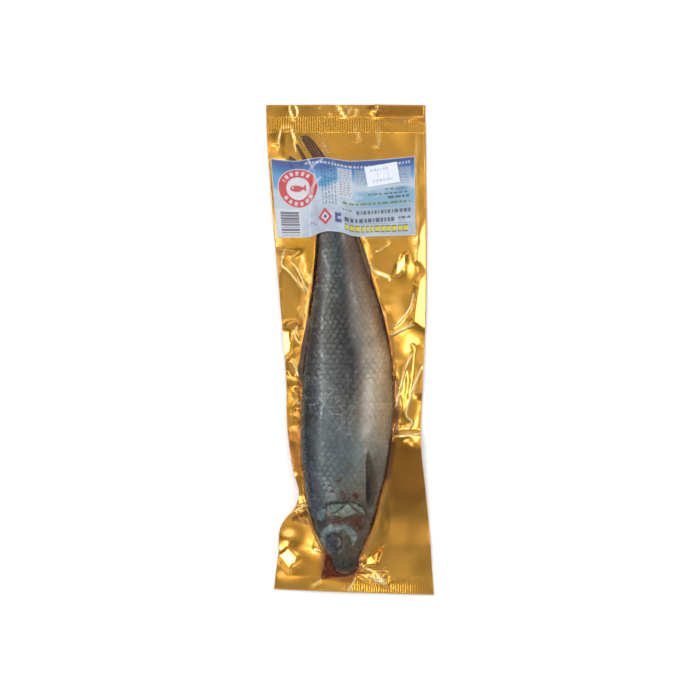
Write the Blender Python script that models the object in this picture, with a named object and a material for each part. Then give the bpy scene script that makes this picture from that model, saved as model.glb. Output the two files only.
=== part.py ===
"""Whole salted herring in a vacuum pouch: gold backing foil, clear front film, label and date sticker.

The pouch lies on its back, +Z up, tail towards +Y. Tables are in millimetres; meshes are made in metres.
The fish is drawn straight in its own frame, then laid along a curved spine:
  s  distance from the snout along the spine
  d  height above the spine, + towards the back of the fish, which faces -X
  w  sideways from the spine, + towards the upper flank, which faces +Z
"""

import math

import bmesh
import bpy
import numpy as np
from mathutils import Matrix, Vector
from mathutils.bvhtree import BVHTree

MM = 0.001

# Pouch: its length, half of its greatest width, and its left and right edges as (y, x)
POUCH_LENGTH = 386.6
POUCH_HALF_WIDTH = 66.2
HEAD_END = -POUCH_LENGTH / 2
TAIL_END = POUCH_LENGTH / 2
LEFT_EDGE = (
    (HEAD_END, -60.0), (-162, -56.5), (-135, -52.5), (-124, -43.5), (-114, -40.3), (-96, -44.5),
    (-60, -49.5), (-28, -50.2), (35, -54.9), (114, -61.6), (170, -65.6), (TAIL_END, -POUCH_HALF_WIDTH),
)
RIGHT_EDGE = (
    (HEAD_END, POUCH_HALF_WIDTH), (-130, 61.6), (-99, 58.3), (-83, 56.5), (-28, 57.3), (15, 59.4),
    (TAIL_END, 59.6),
)
# The head end's lower left corner is drawn in by this much, and the end slopes up to it from here
CORNER_LIFT = 4.6
CORNER_START = -150
WEB_THICKNESS = 0.25
GAP = 0.35
LOWEST_FISH_Z = WEB_THICKNESS + GAP
# Height of the border beside the fish and at the pouch's edge, as (y, z)
BORDER_AT_FISH = ((-193, 3.6), (-165, 6.5), (-120, 9.0), (0, 10.5), (100, 8.5), (150, 7.0), (193, 4.5))
BORDER_AT_EDGE = ((-193, 2.2), (-150, 3.5), (-114, 7.5), (-80, 4.0), (0, 3.5), (90, 3.0), (193, 3.0))
# The front film falls beside the fish this many times as fast as it moves out, within this reach
SKIRT_STEEPNESS = 1.9
SKIRT_REACH = 9.0

# Columns of the webs' grid: shares across the mound over the fish, and from an edge in to the mound
MOUND_SHARES = (-1.0, -0.92, -0.76, -0.52, -0.25, 0.04, 0.32, 0.58, 0.80, 0.94, 1.0)
BORDER_SHARES = (0.0, 0.26, 0.52, 0.77)
MOUND_CLEARANCE = 1.6
NARROWEST_MOUND = 12.0
# Beyond the narrow end of the body the mound widens over the tail fin: y, centre and half width
TAIL_MOUND = ((118, -17, 13.5), (135, -24, 16), (150, -33, 17), (165, -38, 13), (TAIL_END, -38, 12))
# Rows of the webs' grid beyond the snout and beside the tail fin
ROWS_BELOW_SNOUT = (HEAD_END, -186.5, -180)
ROWS_OVER_TAIL = (124, 132, 140, 148, 156, 163, 170, 178, 185.5, TAIL_END)

# Broad folds of the pouch border: start, end, width and height at the start
FOLDS = (
    ((-46, -112), (-30, -122), 5.0, 4.5),
    ((56, -70), (36, -68), 6.0, 3.5),
    ((58, -20), (40, 12), 6.0, 2.5),
    ((-52, 30), (-34, 60), 7.0, 2.0),
    ((-20, 193), (-18, 178), 6.0, 3.5),
    ((8, 193), (8, 180), 6.0, 3.0),
    ((-45, 193), (-44, 182), 5.0, 2.5),
    ((35, -172), (12, -176), 6.0, 2.5),
)
FOLD_FADE = 0.6

# Spine of the fish, seen from above (y, x) and its height along the fish (s, z)
SPINE = (
    (-174.6, -2.7), (-150, -4.9), (-126, -5.8), (-88, -4.4), (-38, -1.9), (10, -2.6), (56, -6.2),
    (87, -9.7), (108, -13.6), (124, -18.2), (145, -26.8), (168, -38.5),
)
SPINE_HEIGHT = (
    (0, 10.2), (48, 13.2), (108, 15.6), (150, 15.0), (200, 11.8), (240, 9.2), (283, 8.4), (350, 8.2),
)
# Body outline: half depth and half thickness along s
HALF_DEPTH = (
    (0, 6.2), (3, 8.6), (9, 10.6), (21, 15.8), (32, 20.7), (48, 26.0), (64, 29.6), (86, 33.2), (108, 35.4),
    (136, 36.2), (168, 34.2), (200, 28.4), (231, 20.9), (262, 14.8), (283, 11.6), (298, 10.4), (309, 11.5),
)
HALF_THICKNESS = (
    (0, 3.4), (3, 4.8), (9, 6.6), (21, 9.8), (32, 12.2), (48, 15.0), (64, 16.8), (86, 18.2), (108, 18.6),
    (136, 18.4), (168, 17.0), (200, 13.6), (231, 9.8), (262, 6.9), (283, 4.9), (298, 3.4), (309, 2.2),
)
BODY_STATIONS = (
    0, 3, 9, 16, 24, 32, 40, 50, 62, 76, 92, 108, 124, 140, 156, 172, 188, 204,
    219, 234, 249, 264, 279, 294, 309,
)
RING_POINTS = 24
# Exponent of the section's outline, 0.5 for an ellipse; how far its belly half narrows to a keel;
# and how thick its under half is, against the upper one
SECTION_POWER = 0.56
BELLY_KEEL = 0.30
UNDERSIDE_FLATNESS = 0.86

# Eye: its centre (s, d), and its ball, sunk so that only a low dome shows
EYE_AT = (25.4, 7.2)
EYE_SINK = 6.0
EYE_BALL_RADIUS = 6.6

FIN_THICKNESS = 1.1
FIN_ROOT_DEPTH = 1.6
# Fins as (s, nearer edge, further edge), both edges as shares of the half depth, + towards the back
PECTORAL_FIN = (
    (52, -0.88, -0.72), (60, -0.90, -0.62), (75, -0.82, -0.55), (90, -0.66, -0.49), (98, -0.55, -0.49),
)
PELVIC_FIN = ((158, -0.86, -0.72), (166, -0.88, -0.68), (176, -0.93, -0.76), (185, -0.97, -0.90))
# Fins on the outline as (s, root, tip) in shares of the half depth
DORSAL_FIN = ((148, 0.90, 1.0), (154, 0.90, 1.10), (170, 0.90, 1.10), (190, 0.90, 1.10), (204, 0.92, 1.06))
ANAL_FIN = ((226, -0.90, -1.0), (234, -0.88, -1.13), (252, -0.86, -1.15), (268, -0.84, -1.06))
# Tail fin, folded into two lobes: each row is s and the d of its two edges
TAIL_BACK_LOBE = ((303, -3.0, 10.0), (316, 2.0, 14.0), (328, 9.0, 16.0), (339, 14.5, 17.0))
TAIL_BELLY_LOBE = ((303, -10.0, 3.0), (318, -10.0, -0.5), (332, -6.5, -1.5), (350, -3.0, -0.6))
EDGE_FIN_HALF_THICKNESS = 0.9

# Corners of the label, anticlockwise from its lower left, and the date sticker's place
LABEL_CORNERS = ((-57.5, 88.7), (51.7, 90.7), (51.2, 152.9), (-62.7, 151.0))
LABEL_THICKNESS = 0.2
STICKER_SIZE = (26.0, 16.0)
STICKER_CENTRE = (25.4, 138.2)
STICKER_TURN = math.radians(9.9)

# Brine caught round the snout: angle about the snout from the right cheek to the left one, and its width
SNOUT_CENTRE = (-3.2, -165.5)
SNOUT_RADIUS = 11.6
BRINE_ARC = (math.radians(-25), math.radians(-190))
BRINE_WIDTH = (
    (0.0, 0.8), (0.3, 2.2), (0.52, 2.6), (0.62, 5.0), (0.71, 12.0), (0.8, 8.0), (0.9, 5.5), (1.0, 2.5),
)
BRINE_THICKNESS = 0.9
BRINE_STEPS = 18

# Colours: red, green, blue and opacity
FISH_SILVER = (0.34, 0.35, 0.35, 1.0)
GOLD = (0.55, 0.31, 0.06, 1.0)
CLEAR_FILM = (0.92, 0.93, 0.95, 0.15)
BRINE_AMBER = (0.45, 0.10, 0.03, 0.7)
LABEL_BLUE = (0.35, 0.50, 0.72, 1.0)
STICKER_WHITE = (0.80, 0.82, 0.86, 1.0)
SHARP_EDGE = math.radians(40)


class Profile:
    """A smooth curve through a few (position, value) points."""

    def __init__(self, points):
        self.at, self.value = np.array(points, float).T
        self.slope = np.gradient(self.value, self.at)

    def __call__(self, at):
        at = np.clip(at, self.at[0], self.at[-1])
        i = np.clip(np.searchsorted(self.at, at) - 1, 0, len(self.at) - 2)
        step = self.at[i + 1] - self.at[i]
        t = (at - self.at[i]) / step
        start = (1 + 2 * t) * (1 - t) ** 2 * self.value[i] + t * (1 - t) ** 2 * step * self.slope[i]
        end = t * t * (3 - 2 * t) * self.value[i + 1] + t * t * (t - 1) * step * self.slope[i + 1]
        return start + end


half_depth = Profile(HALF_DEPTH)
half_thickness = Profile(HALF_THICKNESS)
spine_height = Profile(SPINE_HEIGHT)
spine_x = Profile(SPINE)
border_at_fish = Profile(BORDER_AT_FISH)
border_at_edge = Profile(BORDER_AT_EDGE)
left_edge = Profile(LEFT_EDGE)
right_edge = Profile(RIGHT_EDGE)
brine_width = Profile(BRINE_WIDTH)

SPINE_STEPS = 400
SPINE_Y = np.linspace(SPINE[0][0], SPINE[-1][0], SPINE_STEPS)
SPINE_S = np.concatenate([[0], np.cumsum(np.hypot(np.diff(SPINE_Y), np.diff(spine_x(SPINE_Y))))])


def smoothstep(t):
    t = np.clip(t, 0, 1)
    return t * t * (3 - 2 * t)


# ---------------------------------------------------------------- fish


def place(s, d, w):
    """A point of the straight fish, laid along the spine in the pouch."""
    y = np.interp(s, SPINE_S, SPINE_Y)
    x = spine_x(y)
    slope = (spine_x(y + 1) - spine_x(y - 1)) / 2
    along = np.hypot(1, slope)
    z = max(spine_height(s) + w, LOWEST_FISH_Z)
    return (x - d / along, y + d * slope / along, z)


def flank(s, share):
    """The body's half thickness at a share of its half depth, + towards the back."""
    keel = 1 - BELLY_KEEL * max(0.0, -share) ** 2
    return half_thickness(s) * max(0.0, 1 - share**2) ** SECTION_POWER * keel


def body_ring(s):
    """One closed section of the body, from the back round the upper flank to the belly and underneath."""
    ring = []
    for i in range(RING_POINTS):
        angle = 2 * math.pi * i / RING_POINTS
        share = math.cos(angle)
        side = flank(s, share) if math.sin(angle) > 0 else -flank(s, share) * UNDERSIDE_FLATNESS
        ring.append(place(s, half_depth(s) * share, side))
    return ring


def loft(name, rings):
    """A closed mesh through rings of equal length, with a flat cap at each end."""
    count = len(rings[0])
    faces = [
        (a * count + i, a * count + (i + 1) % count, (a + 1) * count + (i + 1) % count, (a + 1) * count + i)
        for a in range(len(rings) - 1)
        for i in range(count)
    ]
    faces.append(tuple(range(count))[::-1])
    faces.append(tuple((len(rings) - 1) * count + i for i in range(count)))
    return mesh_object(name, [point for ring in rings for point in ring], faces)


def mesh_object(name, points_mm, faces):
    """A mesh object from points in millimetres, with its faces turned outwards."""
    mesh = bpy.data.meshes.new(name)
    mesh.from_pydata([tuple(c * MM for c in point) for point in points_mm], [], faces)
    shape = bmesh.new()
    shape.from_mesh(mesh)
    bmesh.ops.recalc_face_normals(shape, faces=shape.faces)
    shape.to_mesh(mesh)
    shape.free()
    obj = bpy.data.objects.new(name, mesh)
    bpy.context.collection.objects.link(obj)
    return obj


def lying_fin(name, rows, side):
    """A fin pressed flat on one flank (side 1 is the upper one), its root sunk into the body."""
    rings = []
    flatness = 1 if side > 0 else UNDERSIDE_FLATNESS
    for s, low, high in rows:
        ring = []
        for lift, shares in ((FIN_THICKNESS, (low, high)), (-FIN_ROOT_DEPTH, (high, low))):
            for share in shares:
                reach = flank(s, share) * flatness + lift
                ring.append(place(s, half_depth(s) * share, side * reach))
        rings.append(ring)
    return loft(name, rings)


def middle_fin(name, rows):
    """A fin in the fish's middle plane, from rows of s and the d of its root and its edge."""
    rings = []
    thick = EDGE_FIN_HALF_THICKNESS
    for s, root, edge in rows:
        ring = [(root, thick), (edge, thick / 2), (edge, -thick / 2), (root, -thick)]
        rings.append([place(s, d, w) for d, w in ring])
    return loft(name, rings)


def outline_fin(name, rows):
    """A folded fin along the back or the belly, whose rows are in shares of the half depth."""
    return middle_fin(name, [(s, root * half_depth(s), edge * half_depth(s)) for s, root, edge in rows])


def eye_dome(name):
    """The bulge of the eye on the upper flank."""
    s, d = EYE_AT
    centre = place(s, d, flank(s, d / half_depth(s)) - EYE_SINK)
    bpy.ops.mesh.primitive_uv_sphere_add(
        segments=16, ring_count=8, radius=EYE_BALL_RADIUS * MM, location=[c * MM for c in centre]
    )
    dome = bpy.context.object
    dome.name = name
    return dome


def unite(whole, pieces):
    """Joins overlapping closed pieces into the first one and removes them."""
    for piece in pieces:
        join = whole.modifiers.new("join_" + piece.name, "BOOLEAN")
        join.operation = "UNION"
        join.solver = "EXACT"
        join.object = piece
    graph = bpy.context.evaluated_depsgraph_get()
    joined = bpy.data.meshes.new_from_object(whole.evaluated_get(graph))
    whole.modifiers.clear()
    whole.data = joined
    for piece in pieces:
        bpy.data.objects.remove(piece)
    return whole


def make_herring():
    body = loft("herring", [body_ring(s) for s in BODY_STATIONS])
    pieces = [
        lying_fin("pectoral_up", PECTORAL_FIN, 1),
        lying_fin("pectoral_down", PECTORAL_FIN, -1),
        lying_fin("pelvic_up", PELVIC_FIN, 1),
        lying_fin("pelvic_down", PELVIC_FIN, -1),
        outline_fin("dorsal", DORSAL_FIN),
        outline_fin("anal", ANAL_FIN),
        middle_fin("tail_back", TAIL_BACK_LOBE),
        middle_fin("tail_belly", TAIL_BELLY_LOBE),
        eye_dome("eye"),
    ]
    return unite(body, pieces)


# ---------------------------------------------------------------- pouch

tail_mound_centre = Profile([(y, x) for y, x, _ in TAIL_MOUND])
tail_mound_half = Profile([(y, half) for y, _, half in TAIL_MOUND])


def mound_at(y):
    """Centre and half width of the part of the web that the fish lifts, at one height along the pouch."""
    if y > TAIL_MOUND[0][0]:
        return float(tail_mound_centre(y)), float(tail_mound_half(y))
    half = half_depth(np.interp(y, SPINE_Y, SPINE_S)) + MOUND_CLEARANCE
    return float(spine_x(y)), float(max(half, NARROWEST_MOUND))


def row_positions():
    along_fish = [float(np.interp(s, SPINE_S, SPINE_Y)) for s in BODY_STATIONS]
    over_body = [y for y in along_fish if y < TAIL_MOUND[0][0]]
    return [*ROWS_BELOW_SNOUT, *over_body, *ROWS_OVER_TAIL]


def web_plan():
    """The (x, y) grid that both webs share: its columns follow the fish's outline."""
    rows = []
    for y in row_positions():
        centre, half = mound_at(y)
        left, right = float(left_edge(y)), float(right_edge(y))
        left_side = [left + (centre - half - left) * share for share in BORDER_SHARES]
        right_side = [right + (centre + half - right) * share for share in BORDER_SHARES]
        across = [*left_side, *(centre + half * share for share in MOUND_SHARES), *right_side[::-1]]
        lift = CORNER_LIFT * smoothstep((CORNER_START - y) / (CORNER_START - HEAD_END))
        rows.append([(x, y + lift * (right - x) / (right - left)) for x in across])
    return np.array(rows)


def fold_height(x, y):
    """What the broad folds add to the border's height."""
    total = 0.0
    for start, end, width, height in FOLDS:
        a, b = Vector(start), Vector(end)
        t = min(1.0, max(0.0, (Vector((x, y)) - a).dot(b - a) / (b - a).length_squared))
        away = (Vector((x, y)) - a.lerp(b, t)).length
        total += height * math.exp(-((away / width) ** 2)) * (1 - FOLD_FADE * t)
    return total


def border_height(x, y):
    """Height of the sealed border, from the fish's side out to the pouch's edge."""
    centre, half = mound_at(y)
    edge = left_edge(y) if x < centre else right_edge(y)
    start = centre - half if x < centre else centre + half
    outwards = smoothstep((x - start) / (edge - start))
    return border_at_fish(y) * (1 - outwards) + border_at_edge(y) * outwards + fold_height(x, y)


def skin_heights(tree, points, side):
    """Height of an object's upper (side 1) or lower (side -1) skin at each (x, y), or NaN beside it."""
    found = []
    for x, y in points:
        hit = tree.ray_cast(Vector((x * MM, y * MM, side)), Vector((0, 0, -side)))[0]
        found.append(hit.z / MM if hit is not None else math.nan)
    return np.array(found)


def skin_samples(obj):
    """Points spread over an object's skin in millimetres: on its corners, edges and faces."""
    mesh = obj.data
    corners = np.array([v.co[:] for v in mesh.vertices]) / MM
    mesh.calc_loop_triangles()
    triangles = np.array([t.vertices[:] for t in mesh.loop_triangles])
    a, b, c = (corners[triangles[:, i]] for i in range(3))
    along = [p + (q - p) * t for p, q in ((a, b), (b, c), (c, a)) for t in np.arange(1, 10) / 10]
    return np.unique(np.round(np.concatenate([corners, *along, (a + b + c) / 3]), 4), axis=0)


def cells_at(plan, x, y):
    """The grid cells whose box holds a point, as rows and columns."""
    low = np.minimum.reduce([plan[:-1, :-1], plan[1:, :-1], plan[:-1, 1:], plan[1:, 1:]])
    high = np.maximum.reduce([plan[:-1, :-1], plan[1:, :-1], plan[:-1, 1:], plan[1:, 1:]])
    inside = (low[..., 0] <= x) & (x <= high[..., 0]) & (low[..., 1] <= y) & (y <= high[..., 1])
    return np.argwhere(inside)


def clear_of(plan, heights, samples, sign):
    """Moves grid heights up (sign 1) or down (sign -1) until the sheet clears every sample by GAP."""
    for x, y, z in samples:
        for row, column in cells_at(plan, x, y):
            near, right = (row, column), (row, column + 1)
            above, across = (row + 1, column), (row + 1, column + 1)
            for trio in ((near, right, across), (near, across, above)):
                share = barycentric(*(plan[spot] for spot in trio), (x, y))
                if share is None:
                    continue
                level = sum(part * heights[spot] for part, spot in zip(share, trio))
                short = max(0.0, sign * (z - level) + GAP)
                for spot in trio:
                    heights[spot] += sign * short
    return heights


def barycentric(a, b, c, point):
    """Shares of three corners at a point, or None if it is outside their triangle."""
    side_ab, side_ac, way = b - a, c - a, np.array(point) - a
    area = side_ab[0] * side_ac[1] - side_ab[1] * side_ac[0]
    v = (way[0] * side_ac[1] - way[1] * side_ac[0]) / area
    w = (side_ab[0] * way[1] - side_ab[1] * way[0]) / area
    slack = 0.001
    return (1 - v - w, v, w) if min(v, w, 1 - v - w) >= -slack else None


def sheet(name, plan, heights, thickness):
    """A closed thin sheet: the grid at these heights, and the same grid one thickness higher."""
    rows, columns = heights.shape
    count = rows * columns
    flat = plan.reshape(-1, 2)
    under = [(x, y, z) for (x, y), z in zip(flat, heights.reshape(-1))]
    over = [(x, y, z + thickness) for x, y, z in under]
    faces = []
    for row in range(rows - 1):
        for column in range(columns - 1):
            a, b = row * columns + column, row * columns + column + 1
            c, d = b + columns, a + columns
            faces += [(a, b, c), (a, c, d)]
            faces += [(a + count, c + count, b + count), (a + count, d + count, c + count)]
    rim = (
        [(0, i) for i in range(columns)]
        + [(i, columns - 1) for i in range(1, rows)]
        + [(rows - 1, i) for i in range(columns - 2, -1, -1)]
        + [(i, 0) for i in range(rows - 2, 0, -1)]
    )
    rim = [row * columns + column for row, column in rim]
    for a, b in zip(rim, rim[1:] + rim[:1]):
        faces += [(a, b, b + count), (a, b + count, a + count)]
    return mesh_object(name, under + over, faces)


def foil_heights(plan, fish_tree, samples):
    """Underside of the backing foil: flat under the fish, rising beside it to the border."""
    flat = plan.reshape(-1, 2)
    border = np.array([border_height(x, y) for x, y in flat])
    fish_low = skin_heights(fish_tree, flat, side=-1)
    cup = np.where(np.isnan(fish_low), np.inf, fish_low - GAP - WEB_THICKNESS)
    heights = np.minimum(border, cup).reshape(plan.shape[:2])
    top = clear_of(plan, heights + WEB_THICKNESS, samples, sign=-1)
    return np.maximum(top - WEB_THICKNESS, 0.0)


def film_heights(plan, foil, fish_tree, samples):
    """Underside of the front film: down the sides of the fish in a steep skirt, then flat on the foil."""
    flat = plan.reshape(-1, 2)
    over_foil = foil.reshape(-1) + WEB_THICKNESS + GAP
    heights = []
    for (x, y), floor in zip(flat, over_foil):
        away = np.hypot(samples[:, 0] - x, samples[:, 1] - y)
        near = away < SKIRT_REACH
        skirt = samples[near, 2] + GAP - SKIRT_STEEPNESS * away[near]
        heights.append(skirt.max(initial=floor))
    tops = skin_heights(fish_tree, flat, side=1)
    heights = np.fmax(np.array(heights), tops + GAP).reshape(plan.shape[:2])
    return clear_of(plan, heights, samples, sign=1)


def laid_sheet(name, plan, under, thickness):
    """A sheet laid on the upper face of another object's mesh, following it with a gap."""
    tree = BVHTree.FromObject(under, bpy.context.evaluated_depsgraph_get())
    heights = skin_heights(tree, plan.reshape(-1, 2), side=1) + GAP
    samples = skin_samples(under)
    low, high = plan.reshape(-1, 2).min(axis=0), plan.reshape(-1, 2).max(axis=0)
    within = ((samples[:, :2] >= low) & (samples[:, :2] <= high)).all(axis=1)
    heights = clear_of(plan, heights.reshape(plan.shape[:2]), samples[within], sign=1)
    return sheet(name, plan, heights, thickness)


def four_corner_plan(corners, columns, rows):
    """A grid between four corners, anticlockwise from the lower left."""
    a, b, c, d = (np.array(corner, float) for corner in corners)
    u = np.linspace(0, 1, columns + 1)[None, :, None]
    v = np.linspace(0, 1, rows + 1)[:, None, None]
    return (a * (1 - u) + b * u) * (1 - v) + (d * (1 - u) + c * u) * v


def sticker_corners():
    turn = Matrix.Rotation(STICKER_TURN, 2)
    half_w, half_h = STICKER_SIZE[0] / 2, STICKER_SIZE[1] / 2
    corners = ((-half_w, -half_h), (half_w, -half_h), (half_w, half_h), (-half_w, half_h))
    return [Vector(STICKER_CENTRE) + turn @ Vector(corner) for corner in corners]


def brine_plan():
    """A crescent round the snout, in three rows from its inner side to its outer one."""
    rows = []
    for side in (0.0, 0.5, 1.0):
        row = []
        for i in range(BRINE_STEPS + 1):
            share = i / BRINE_STEPS
            angle = BRINE_ARC[0] + (BRINE_ARC[1] - BRINE_ARC[0]) * share
            radius = SNOUT_RADIUS + brine_width(share) * side
            row.append(np.array(SNOUT_CENTRE) + radius * np.array([math.cos(angle), math.sin(angle)]))
        rows.append(row)
    return np.array(rows)


def finish_look(obj, colour, roughness, metallic=0.0):
    """Gives an object its own material and smooth shading."""
    material = bpy.data.materials.new(obj.name)
    material.use_nodes = True
    shader = material.node_tree.nodes["Principled BSDF"]
    shader.inputs["Base Color"].default_value = colour
    shader.inputs["Alpha"].default_value = colour[3]
    shader.inputs["Roughness"].default_value = roughness
    shader.inputs["Metallic"].default_value = metallic
    obj.data.materials.clear()
    obj.data.materials.append(material)
    obj.data.shade_smooth()
    obj.data.set_sharp_from_angle(angle=SHARP_EDGE)


def main():
    for obj in list(bpy.data.objects):
        bpy.data.objects.remove(obj)

    fish = make_herring()
    bpy.context.view_layer.update()
    graph = bpy.context.evaluated_depsgraph_get()
    fish_tree = BVHTree.FromObject(fish, graph)
    samples = skin_samples(fish)

    plan = web_plan()
    foil = foil_heights(plan, fish_tree, samples)
    backing = sheet("backing_foil", plan, foil, WEB_THICKNESS)
    bpy.context.view_layer.update()

    pool = laid_sheet("brine", brine_plan(), backing, BRINE_THICKNESS)
    pool_top = skin_samples(pool)

    film = film_heights(plan, foil, fish_tree, samples)
    film = clear_of(plan, film, pool_top, sign=1)
    front = sheet("front_film", plan, film, WEB_THICKNESS)
    bpy.context.view_layer.update()

    label = laid_sheet("printed_label", four_corner_plan(LABEL_CORNERS, 18, 8), front, LABEL_THICKNESS)
    bpy.context.view_layer.update()
    sticker = laid_sheet("date_sticker", four_corner_plan(sticker_corners(), 5, 3), label, LABEL_THICKNESS)

    finish_look(fish, FISH_SILVER, 0.35)
    finish_look(backing, GOLD, 0.3, metallic=1.0)
    finish_look(front, CLEAR_FILM, 0.1)
    finish_look(pool, BRINE_AMBER, 0.1)
    finish_look(label, LABEL_BLUE, 0.4)
    finish_look(sticker, STICKER_WHITE, 0.6)


main()
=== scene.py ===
"""The looks of the vacuum-packed herring: skin, fins, gold foil, clear film, label, sticker and brine.

Tables are in millimetres in the part's frame: +X towards the belly, +Y towards the tail, +Z up.
On the fish, s is the distance from the snout along the spine, d the height above the spine, + towards
the back, and w the distance sideways, + towards the upper flank.
"""

import math

import bpy
import numpy as np
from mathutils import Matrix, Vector
from mathutils.bvhtree import BVHTree


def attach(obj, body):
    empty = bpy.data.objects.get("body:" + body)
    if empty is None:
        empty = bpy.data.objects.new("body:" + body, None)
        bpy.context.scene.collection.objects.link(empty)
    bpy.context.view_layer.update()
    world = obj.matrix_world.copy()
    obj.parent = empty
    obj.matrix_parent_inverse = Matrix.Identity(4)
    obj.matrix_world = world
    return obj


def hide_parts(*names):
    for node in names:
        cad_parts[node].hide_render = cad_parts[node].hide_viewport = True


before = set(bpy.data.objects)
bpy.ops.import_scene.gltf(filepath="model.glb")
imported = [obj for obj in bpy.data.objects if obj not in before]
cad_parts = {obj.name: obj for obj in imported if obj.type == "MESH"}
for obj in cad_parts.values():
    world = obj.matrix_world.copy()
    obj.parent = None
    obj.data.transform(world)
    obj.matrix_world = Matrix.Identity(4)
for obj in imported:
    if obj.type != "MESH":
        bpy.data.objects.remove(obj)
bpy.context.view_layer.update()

MM = 0.001

# -------- the part's own driving dimensions

POUCH_LENGTH = 386.6
HEAD_END = -POUCH_LENGTH / 2
TAIL_END = POUCH_LENGTH / 2
LEFT_EDGE = (
    (HEAD_END, -60.0), (-162, -56.5), (-135, -52.5), (-124, -43.5), (-114, -40.3), (-96, -44.5),
    (-60, -49.5), (-28, -50.2), (35, -54.9), (114, -61.6), (170, -65.6), (TAIL_END, -66.2),
)
RIGHT_EDGE = (
    (HEAD_END, 66.2), (-130, 61.6), (-99, 58.3), (-83, 56.5), (-28, 57.3), (15, 59.4), (TAIL_END, 59.6),
)
CORNER_LIFT = 4.6
CORNER_START = -150
BORDER_AT_FISH = ((-193, 3.6), (-165, 6.5), (-120, 9.0), (0, 10.5), (100, 8.5), (150, 7.0), (193, 4.5))
BORDER_AT_EDGE = ((-193, 2.2), (-150, 3.5), (-114, 7.5), (-80, 4.0), (0, 3.5), (90, 3.0), (193, 3.0))
TAIL_MOUND = ((118, -17, 13.5), (135, -24, 16), (150, -33, 17), (165, -38, 13), (TAIL_END, -38, 12))
MOUND_CLEARANCE = 1.6
NARROWEST_MOUND = 12.0

SPINE = (
    (-174.6, -2.7), (-150, -4.9), (-126, -5.8), (-88, -4.4), (-38, -1.9), (10, -2.6), (56, -6.2),
    (87, -9.7), (108, -13.6), (124, -18.2), (145, -26.8), (168, -38.5),
)
SPINE_HEIGHT = (
    (0, 10.2), (48, 13.2), (108, 15.6), (150, 15.0), (200, 11.8), (240, 9.2), (283, 8.4), (350, 8.2),
)
HALF_DEPTH = (
    (0, 6.2), (3, 8.6), (9, 10.6), (21, 15.8), (32, 20.7), (48, 26.0), (64, 29.6), (86, 33.2), (108, 35.4),
    (136, 36.2), (168, 34.2), (200, 28.4), (231, 20.9), (262, 14.8), (283, 11.6), (298, 10.4), (309, 11.5),
)
HALF_THICKNESS = (
    (0, 3.4), (3, 4.8), (9, 6.6), (21, 9.8), (32, 12.2), (48, 15.0), (64, 16.8), (86, 18.2), (108, 18.6),
    (136, 18.4), (168, 17.0), (200, 13.6), (231, 9.8), (262, 6.9), (283, 4.9), (298, 3.4), (309, 2.2),
)
SECTION_POWER = 0.56
BELLY_KEEL = 0.30
UNDERSIDE_FLATNESS = 0.86
LOWEST_FISH_Z = 0.6
LABEL_CORNERS = ((-57.5, 88.7), (51.7, 90.7), (51.2, 152.9), (-62.7, 151.0))
STICKER_CENTRE = (25.4, 138.2)
STICKER_SIZE = (26.0, 16.0)
STICKER_TURN = math.radians(9.9)


# -------- helpers


class Profile:
    """A smooth curve through a few (position, value) points."""

    def __init__(self, points):
        self.at, self.value = np.array(points, float).T
        self.slope = np.gradient(self.value, self.at)

    def __call__(self, at):
        at = np.clip(at, self.at[0], self.at[-1])
        i = np.clip(np.searchsorted(self.at, at) - 1, 0, len(self.at) - 2)
        step = self.at[i + 1] - self.at[i]
        t = (at - self.at[i]) / step
        start = (1 + 2 * t) * (1 - t) ** 2 * self.value[i] + t * (1 - t) ** 2 * step * self.slope[i]
        end = t * t * (3 - 2 * t) * self.value[i + 1] + t * t * (t - 1) * step * self.slope[i + 1]
        return start + end


class Noise:
    """Smooth noise from -1 to 1 on a repeating lattice, the same each run."""

    SIDE = 128

    def __init__(self, seed):
        self.lattice = np.random.default_rng(seed).uniform(-1, 1, (self.SIDE, self.SIDE))

    def layer(self, x, y):
        i, j = np.floor(x).astype(int), np.floor(y).astype(int)
        u, v = x - i, y - j
        u, v = u * u * (3 - 2 * u), v * v * (3 - 2 * v)
        i0, j0, i1, j1 = i % self.SIDE, j % self.SIDE, (i + 1) % self.SIDE, (j + 1) % self.SIDE
        low = self.lattice[i0, j0] * (1 - u) + self.lattice[i1, j0] * u
        high = self.lattice[i0, j1] * (1 - u) + self.lattice[i1, j1] * u
        return low * (1 - v) + high * v

    def __call__(self, x, y, size, octaves=1):
        total = np.zeros(np.broadcast(x, y).shape)
        share = 1.0
        for octave in range(octaves):
            total += share * self.layer(x / size + 17.3 * octave, y / size + 5.1 * octave)
            size, share = size / 2.1, share / 2
        return total


def step(low, high, x):
    """0 below low, 1 above high, smooth between. low may be above high."""
    t = np.clip((x - low) / (high - low), 0, 1)
    return t * t * (3 - 2 * t)


def bell(away, width):
    """1 at no distance, falling off smoothly over a width."""
    return np.exp(-((away / width) ** 2))


def mix(a, b, share):
    """Colour a where share is 0 and colour b where it is 1."""
    share = np.asarray(share)[..., None]
    return a * (1 - share) + b * share


def rgb(red, green, blue):
    """A colour given in screen values from 0 to 255, as linear light."""
    value = np.array([red, green, blue], float) / 255
    return np.where(value <= 0.04045, value / 12.92, ((value + 0.055) / 1.055) ** 2.4)


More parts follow.
